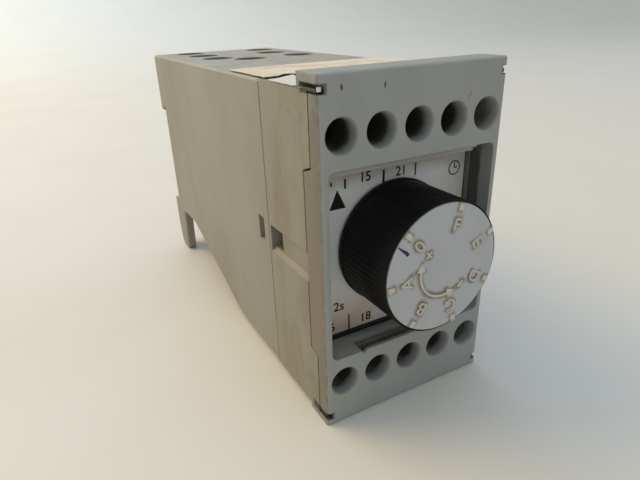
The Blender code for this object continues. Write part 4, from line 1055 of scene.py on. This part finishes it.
    def cap(self, marks: Piece) -> Piece:
        """Turn the cap in fine rings and note on it how near each point is to a mark.

        Args:
            marks: The raised marks.

        Returns:
            The cap, with a grime attribute from 0 to 1.
        """
        round_over = 0.25 * MM
        rings = 36
        flat = self.cap_radius - round_over
        stations = [Station(self.cap_face, flat * (index + 1) / rings) for index in range(rings)]
        stations += [
            Station(self.cap_face + round_over * (1 - math.cos(step)), flat + round_over * math.sin(step))
            for step in (math.radians(degrees) for degrees in (30, 60, 90))]
        stations += [Station(self.cap_back, self.cap_radius)]
        piece = turned("cap_disc", self.axis, stations, 120)
        smooth(piece)
        near = KDTree(len(marks.data.vertices))
        for vertex in marks.data.vertices:
            near.insert(vertex.co, vertex.index)
        near.balance()
        grime = piece.data.attributes.new("grime", "FLOAT", "POINT")
        for vertex in piece.data.vertices:
            _, _, away = near.find(vertex.co)
            patchy = noise.noise(vertex.co * 260.0) * 0.5 + noise.noise(vertex.co * 900.0) * 0.25
            reach = (0.95 + 0.9 * patchy) * MM
            grime.data[vertex.index].value = max(0.0, 1.0 - away / reach) * (0.85 + 0.5 * patchy)
        return piece

    def pen_stroke(self) -> Piece:
        """Draw the pen mark left beside the zero: a thin stroke that ends in a blot."""
        deselect()
        bpy.ops.curve.primitive_nurbs_path_add(radius=MM)
        piece = bpy.context.object
        points = piece.data.splines[0].points
        route = ((-11.6, 7.6), (-10.9, 6.9), (-10.2, 6.35), (-9.6, 6.0), (-9.15, 5.3))
        widths = (0.5, 0.7, 0.9, 1.9, 1.2)
        for point, (across, up), width in zip(points, route, widths):
            point.co = (across * MM, up * MM, 0.0, 1.0)
            point.radius = width
        piece.data.bevel_depth = 0.27 * MM
        piece.data.bevel_resolution = 2
        piece.data.use_fill_caps = True
        bpy.ops.object.convert(target="MESH")
        piece = bpy.context.object
        piece.name = "pen_stroke"
        flatten = Matrix.Diagonal((1.0, 1.0, 0.06, 1.0))
        centre = Matrix.Translation((self.axis.x, self.cap_face - 0.01 * MM, self.axis.z))
        place(piece, centre @ UPRIGHT @ flatten)
        smooth(piece)
        return piece

    def lint(self) -> tuple[Scuff, ...]:
        """Return the pale specks of lint that cling to the upper side of the grip."""
        specks = []
        for count in range(11):
            around = math.radians(48 + 13.7 * count + 9 * math.sin(count * 2.3))
            along = self.low.y + (1.2 + 10.5 * (0.5 + 0.5 * math.sin(count * 4.1))) * MM
            centre = (self.axis.x + self.radius * math.cos(around), along,
                      self.axis.z + self.radius * math.sin(around))
            half = (0.14 + 0.07 * math.sin(count * 1.7)) * MM
            specks.append((tint(150, 150, 148), centre, (half, half * 1.8, half), 0.0))
        return tuple(specks)

    def build(self) -> None:
        """Make the knob's pieces."""
        black = Finish("knob_black", "knob_plastic", tint(7, 7, 9), roughness=0.5, gloss=0.18,
                       patch=(tint(11, 11, 13), 5 * MM, 0.4), grain=(0.4 * MM, 0.2), bump=0.01 * MM,
                       scuffs=self.lint())
        pale = Finish("cap_pale_grey", "cap_plastic", tint(189, 191, 192), roughness=0.4,
                      patch=(tint(178, 177, 172), 9 * MM, 0.4), grain=(0.4 * MM, 0.04), bump=0.004 * MM,
                      grime=(tint(128, 108, 82), 0.0, 1.5 * MM), soil="grime")
        cream = Finish("mark_cream", "cap_plastic", tint(214, 206, 190), roughness=0.45,
                       patch=(tint(190, 176, 150), 2 * MM, 0.4), grain=(0.4 * MM, 0.08))
        blue = Finish("pen_blue", "cap_plastic", tint(30, 30, 74), roughness=0.35, grain=(0.4 * MM, 0.3))
        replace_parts(dress(self.grip(), black, "knob"), "knob")
        marks = self.marks()
        cap = self.cap(marks)
        dress(marks, cream, "knob")
        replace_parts(dress(cap, pale, "knob"), "knob_cap")
        dress(self.pen_stroke(), blue, "knob")


# ---------------------------------------------------------------- label

@dataclass
class PaperLabel:
    """The soiled paper label on top and the torn flap at its front left corner.

    Attributes:
        thickness: Of the paper in metres.
        cell: Size of the mesh's cells in metres.
        edge_step: Distance between corners along a torn edge in millimetres.
    """

    thickness: float = 0.12 * MM
    cell: float = 0.7 * MM
    edge_step: float = 0.5

    def __post_init__(self) -> None:
        """Take the top's edges from the frame."""
        cover_low, cover_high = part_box("front_cover")
        label_low, label_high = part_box("paper_label")
        self.left, self.face = cover_low.x, cover_low.y
        self.top = label_low.z
        self.width = cover_high.x - cover_low.x
        self.back = label_high.y

    def sheet(self, name: str, outline: Sequence[tuple[float, float]], lift: Callable[[float, float], float],
              ragged: float) -> Piece:
        """Cut a sheet to an outline, roughen its edge, and lift it off the top.

        Args:
            name: The piece's name.
            outline: Corners in millimetres from the cover's left face corner.
            lift: Height in millimetres at a place in millimetres.
            ragged: How far the cut wanders in millimetres.

        Returns:
            The sheet.
        """
        points = []
        for (x0, y0), (x1, y1) in zip(outline, [*outline[1:], outline[0]]):
            steps = max(1, round(math.hypot(x1 - x0, y1 - y0) / self.edge_step))
            for step in range(steps):
                x, y = x0 + (x1 - x0) * step / steps, y0 + (y1 - y0) * step / steps
                wander = noise.noise_vector(Vector((x * 0.9, y * 0.9, 3.0))) * ragged
                points.append((x + wander.x, y + wander.y))
        deselect()
        bpy.ops.mesh.primitive_plane_add(size=1.0)
        piece = bpy.context.object
        piece.name = name
        with editing(piece, "VERT") as shape:
            shape.clear()
            shape.faces.new([shape.verts.new((x * MM, y * MM, 0.0)) for x, y in points])
            bmesh.update_edit_mesh(piece.data)
            for axis in (0, 1):
                values = [point[axis] for point in points]
                low, high = min(values), max(values)
                cuts = int((high - low) * MM / self.cell)
                for cut in range(1, cuts):
                    at = (low + (high - low) * cut / cuts) * MM
                    bpy.ops.mesh.select_all(action="SELECT")
                    bpy.ops.mesh.bisect(plane_co=(at, at, 0.0), plane_no=(1.0 - axis, float(axis), 0.0))
            face_outwards()
        for vertex in piece.data.vertices:
            vertex.co.z = lift(vertex.co.x / MM, vertex.co.y / MM) * MM
        apply_modifier(piece, "SOLIDIFY", thickness=self.thickness, offset=1.0)
        place(piece, Matrix.Translation((self.left, self.face, self.top)))
        smooth(piece)
        return piece

    @staticmethod
    def crumple(x: float, y: float) -> float:
        """Return the label's height in millimetres: waves, creases and a lift where it is torn."""
        wave = noise.noise(Vector((x * 0.16, y * 0.16, 0.5))) * 0.12
        crease = abs(noise.noise(Vector((x * 0.5, y * 0.35, 7.0)))) * 0.10
        torn = max(0.0, 1.0 - math.hypot(x - 6.0, y - 24.0) / 7.0)
        return 0.06 + abs(wave) + crease + 0.35 * torn ** 2

    @staticmethod
    def curl(x: float, y: float) -> float:
        """Return the flap's height in millimetres at a place: it lifts to the right."""
        return 0.02 + 0.05 * max(0.0, x - 3.0) + 0.05 * abs(noise.noise(Vector((x * 0.4, y * 0.4, 2.0))))

    def build(self) -> None:
        """Make the label and its flap."""
        right, back = self.width / MM - 1.3, (self.back - self.face) / MM
        outline = ((0.9, 24.2), (3.4, 23.6), (6.2, 25.4), (8.8, 24.6), (7.6, 20.5), (5.6, 16.8), (6.4, 12.0),
                   (7.6, 9.2), (right, 9.0), (right, back), (0.9, back))
        flap = ((0.3, 21.6), (3.6, 22.6), (7.4, 24.2), (6.0, 18.6), (4.6, 14.6), (4.4, 10.4), (1.8, 8.6),
                (0.3, 10.0))
        soiled = Finish("paper_soiled", "label_paper", tint(240, 229, 206), roughness=0.8,
                        patch=(tint(200, 178, 140), 7 * MM, 0.65), grain=(0.5 * MM, 0.16),
                        speck=(1.6 * MM, 0.14), bump=0.03 * MM, grime=(tint(104, 84, 58), 0.5, MM))
        torn = Finish("paper_torn", "label_paper", tint(232, 229, 222), roughness=0.85,
                      patch=(tint(214, 206, 192), 3 * MM, 0.4), grain=(0.3 * MM, 0.1), bump=0.03 * MM)
        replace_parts(dress(self.sheet("label_sheet", outline, self.crumple, 0.35), soiled, "housing"),
                    "paper_label")
        dress(self.sheet("label_flap", flap, self.curl, 0.3), torn, "housing")


# ---------------------------------------------------------------- terminals, latch and inner parts

@dataclass
class Terminals:
    """The ten terminals: slotted screws with threads, clamping plates and contact bars.

    Attributes:
        pitch: Of the thread in metres.
        thread_depth: In metres.
        shank: Radius of the shank in metres.
        head_depth: Of the screw's head in metres.
        slot_width: Of the screwdriver slot in metres.
        slot_depth: Of the screwdriver slot in metres.
        segments: Round the screw.
    """

    pitch: float = 0.6 * MM
    thread_depth: float = 0.25 * MM
    shank: float = 1.5 * MM
    head_depth: float = 2.0 * MM
    slot_width: float = 0.8 * MM
    slot_depth: float = MM
    segments: int = 32

    def screw(self, number: int) -> Piece:
        """Model one screw on its own axis.

        Args:
            number: Of the terminal.

        Returns:
            The screw.
        """
        low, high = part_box(f"terminal_screw_{number}")
        axis = (low + high) / 2
        front, back = low.y, high.y
        head = (high.z - low.z) / 2
        shank, neck = self.shank, front + self.head_depth
        stations = [Station(*figures) for figures in (
            (front, head * 0.35), (front, head * 0.62), (front + 0.1 * MM, head * 0.84),
            (front + 0.3 * MM, head * 0.95), (front + 0.6 * MM, head), (neck - 0.15 * MM, head),
            (neck, head - 0.15 * MM), (neck, shank), (neck + 0.5 * MM, shank))]
        turn = neck + 0.5 * MM
        while turn + self.pitch < back - 0.6 * MM:
            stations += [Station(turn + self.pitch * 0.5, shank - self.thread_depth),
                         Station(turn + self.pitch, shank)]
            turn += self.pitch
        stations += [Station(back - 0.4 * MM, shank - 0.1 * MM), Station(back, shank - 0.5 * MM)]
        piece = turned(f"screw_{number}", axis, stations, self.segments)
        slot = box("slot", (low.x - MM, front - MM, axis.z - self.slot_width / 2),
                   (high.x + MM, front + self.slot_depth, axis.z + self.slot_width / 2))
        apply_modifier(piece, "BOOLEAN", operation="DIFFERENCE", solver="EXACT", object=slot)
        bpy.data.objects.remove(slot)
        soften(piece, 0.06 * MM, 2, 50)
        return piece

    def build(self, count: int) -> None:
        """Make every screw, plate and bar.

        Args:
            count: How many terminals there are.
        """
        zinc = Finish("zinc_plate", "zinc_steel", tint(176, 174, 166), roughness=0.42, metallic=0.65,
                      patch=(tint(150, 144, 130), 1.5 * MM, 0.6), grain=(0.2 * MM, 0.25), bump=0.01 * MM,
                      grime=(tint(60, 52, 40), 0.5, 0.8 * MM))
        tin = Finish("tinned_brass_dull", "tinned_brass", tint(206, 196, 160), roughness=0.36, metallic=1.0,
                     patch=(tint(170, 140, 84), 3 * MM, 0.5), grain=(0.4 * MM, 0.15))
        for number in range(1, count + 1):
            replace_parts(dress(self.screw(number), zinc, f"screw_{number}"), f"terminal_screw_{number}")
            moulded(f"clamp_plate_{number}", f"clamp_{number}", zinc, f"clamp_{number}", 0.12 * MM)
            moulded(f"contact_bar_{number}", f"contact_{number}", tin, "housing", 0.1 * MM)


@dataclass
class RailClip:
    """The sliding latch.

    Attributes:
        edge: Rounding of its edges in metres.
    """

    edge: float = 0.2 * MM

    def build(self) -> None:
        """Make the latch."""
        grey = Finish("latch_plastic_grey", "latch_plastic", tint(166, 160, 143), roughness=0.45,
                      patch=(tint(148, 138, 116), 8 * MM, 0.4), grain=(0.4 * MM, 0.08),
                      speck=(2.2 * MM, 0.05), grime=(tint(104, 86, 60), 0.4, 1.5 * MM))
        moulded("rail_latch", "latch_moulding", grey, "latch", self.edge)


class InnerParts:
    """The boards and parts inside, each a frame node with its own finish."""

    def finishes(self) -> dict[Finish, tuple[str, ...]]:
        """Return each finish with the nodes that take it."""
        laminate = Finish("laminate_green", "board_laminate", tint(34, 96, 58), roughness=0.35,
                          patch=(tint(24, 76, 44), 6 * MM, 0.4), grain=(0.4 * MM, 0.1), bump=0.01 * MM)
        black = Finish("moulded_black", "dark_plastic", tint(24, 24, 25), roughness=0.45,
                       grain=(0.4 * MM, 0.2))
        steel = Finish("spring_steel", "zinc_steel", tint(170, 168, 162), roughness=0.3, metallic=1.0,
                       grain=(0.4 * MM, 0.2))
        brass = Finish("bush_brass", "tinned_brass", tint(200, 170, 100), roughness=0.3, metallic=1.0)
        relay = Finish("relay_blue", "relay_plastic", tint(44, 70, 130), roughness=0.2, coat=0.3,
                       grain=(0.4 * MM, 0.05))
        copper = Finish("winding_copper", "copper_wire", tint(176, 96, 52), roughness=0.35, metallic=0.8,
                        grain=(0.3 * MM, 0.5), bump=0.05 * MM)
        iron = Finish("core_iron_dark", "core_iron", tint(84, 82, 80), roughness=0.5, metallic=0.9,
                      grain=(0.5 * MM, 0.4), bump=0.04 * MM)
        sleeve = Finish("sleeve_navy", "capacitor_sleeve", tint(24, 34, 70), roughness=0.3, coat=0.2)
        resin = Finish("resin_ochre", "film_plastic", tint(176, 110, 40), roughness=0.35, coat=0.2)
        epoxy = Finish("epoxy_black", "chip_plastic", tint(30, 30, 30), roughness=0.55,
                       grain=(0.4 * MM, 0.25))
        return {
            laminate: ("front_board", "terminal_board", "main_board"), black: ("pot_body", "relay_base"),
            brass: ("pot_bush",), steel: ("pot_nut", "pot_washer", "pot_shaft", "latch_spring"),
            relay: ("relay_cover",), copper: ("relay_coil", "transformer_winding"),
            iron: ("relay_armature", "transformer_core"),
            sleeve: ("smoothing_capacitor_1", "smoothing_capacitor_2"),
            resin: ("film_capacitor", "resistor_1", "resistor_2"), epoxy: ("timer_chip", "rectifier"),
        }

    def build(self, nodes: dict[str, Piece]) -> None:
        """Dress every node that still shows.

        Args:
            nodes: The frame's nodes by name.
        """
        for finish, names in self.finishes().items():
            for name in names:
                nodes[name].data.materials.clear()
                nodes[name].data.materials.append(finish.material())
                LOG.info("%s: finished as %s", name, finish.name)


# ---------------------------------------------------------------- studio

@dataclass
class Lamp:
    """One soft square light.

    Attributes:
        name: Its name.
        place: Where it hangs, in metres.
        aim: What it points at, in metres.
        size: Side of the square in metres.
        power: In watts.
        colour: Of the light.
    """

    name: str
    place: tuple[float, float, float]
    aim: tuple[float, float, float]
    size: float
    power: float
    colour: Colour

    def build(self) -> None:
        """Hang the light."""
        deselect()
        bpy.ops.object.light_add(type="AREA", location=self.place)
        lamp = bpy.context.object
        lamp.name = self.name
        lamp.data.size = self.size
        lamp.data.energy = self.power
        lamp.data.color = self.colour
        lamp.rotation_euler = (Vector(self.aim) - Vector(self.place)).to_track_quat("-Z", "Y").to_euler()


@dataclass
class Studio:
    """The table, its backdrop, the lights and the camera.

    Attributes:
        half_width: Half of the table's side in metres.
        back: Where the table starts to curve up, in metres.
        sweep: Radius of the curve in metres.
        sweep_steps: Strips in the curve.
        camera_place: In metres.
        camera_turn: Euler angles in degrees.
        lens: In millimetres.
        sky_colour: Of the light from all round.
        sky_strength: Its strength.
    """

    half_width: float = 4.0
    back: float = 0.9
    sweep: float = 1.6
    sweep_steps: int = 16
    camera_place: tuple[float, float, float] = (-64.57 * MM, -133.83 * MM, 86.40 * MM)
    camera_turn: tuple[float, float, float] = (65.762, 1.842, -29.155)
    lens: float = 28.53
    sky_colour: Colour = (0.853, 0.926, 1.0)
    sky_strength: float = 0.53

    def table(self) -> None:
        """Lay the pale table top, which curves up behind."""
        deselect()
        bpy.ops.mesh.primitive_plane_add(size=2 * self.half_width,
                                         location=(0.0, self.back - self.half_width, 0.0))
        top = bpy.context.object
        top.name = "table_top"
        apply_moves()
        steps = self.sweep_steps
        arc = [(self.sweep * math.sin(turn), self.sweep * (1.0 - math.cos(turn)))
               for turn in (math.pi / 2 * step / steps for step in range(steps + 1))]
        with editing(top, "EDGE") as shape:
            for edge in shape.edges:
                edge.select_set(min(corner.co.y for corner in edge.verts) > self.back - MM)
            bmesh.update_edit_mesh(top.data)
            for (y0, z0), (y1, z1) in zip(arc, arc[1:]):
                bpy.ops.mesh.extrude_edges_move(TRANSFORM_OT_translate={"value": (0.0, y1 - y0, z1 - z0)})
            bpy.ops.mesh.extrude_edges_move(TRANSFORM_OT_translate={"value": (0.0, 0.0, 1.0)})
        smooth(top, 60)
        pale = Finish("table_pale", "", tint(238, 234, 224), roughness=0.55,
                      patch=(tint(232, 227, 215), 120 * MM, 0.5), grain=(2 * MM, 0.015), bump=0.02 * MM)
        top.data.materials.append(pale.material())

    def lights(self) -> None:
        """Hang the lights and set the sky."""
        world = bpy.data.worlds.new("sky")
        world.use_nodes = True
        sky = world.node_tree.nodes["Background"]
        sky.inputs["Color"].default_value = (*self.sky_colour, 1.0)
        sky.inputs["Strength"].default_value = self.sky_strength
        bpy.context.scene.world = world
        lamps = (
            Lamp("window", (-0.75, 0.75, 0.95), (0.0, 0.0, 0.03), 0.9, 8.8, (1.0, 0.735, 0.325)),
            Lamp("ceiling", (-0.1, 0.15, 1.4), (0.0, 0.01, 0.0), 1.2, 2.0, (0.84, 0.955, 1.0)),
            Lamp("back_window", (0.2, 1.2, 1.1), (0.0, 0.0, 0.03), 1.2, 3.6, (0.25, 0.48, 1.0)),
            Lamp("backdrop_wash", (-0.7, 1.5, 1.5), (-0.7, 2.9, 0.7), 1.2, 19.0, (0.9, 1.0, 0.99)),
        )
        for lamp in lamps:
            lamp.build()

    def camera(self) -> None:
        """Place the camera."""
        deselect()
        bpy.ops.object.camera_add(location=self.camera_place,
                                  rotation=[math.radians(degrees) for degrees in self.camera_turn])
        camera = bpy.context.object
        camera.data.lens = self.lens
        camera.data.sensor_width = 36.0
        camera.data.clip_start = MM
        bpy.context.scene.camera = camera

    def build(self) -> None:
        """Set up the studio."""
        bpy.context.scene.view_settings.view_transform = "Standard"
        self.camera()
        self.table()
        self.lights()


def main() -> None:
    """Build the timer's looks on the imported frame."""
    logging.basicConfig(level=logging.INFO, format="%(name)s: %(message)s")
    noise.seed_set(NOISE_SEED)
    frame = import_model()
    Studio().build()
    Housing().build()
    ScalePlate().build()
    SettingKnob().build()
    PaperLabel().build()
    Terminals().build(sum(name.startswith("terminal_screw_") for name in frame["nodes"]))
    RailClip().build()
    InnerParts().build(frame["nodes"])


if __name__ == "__main__":
    main()
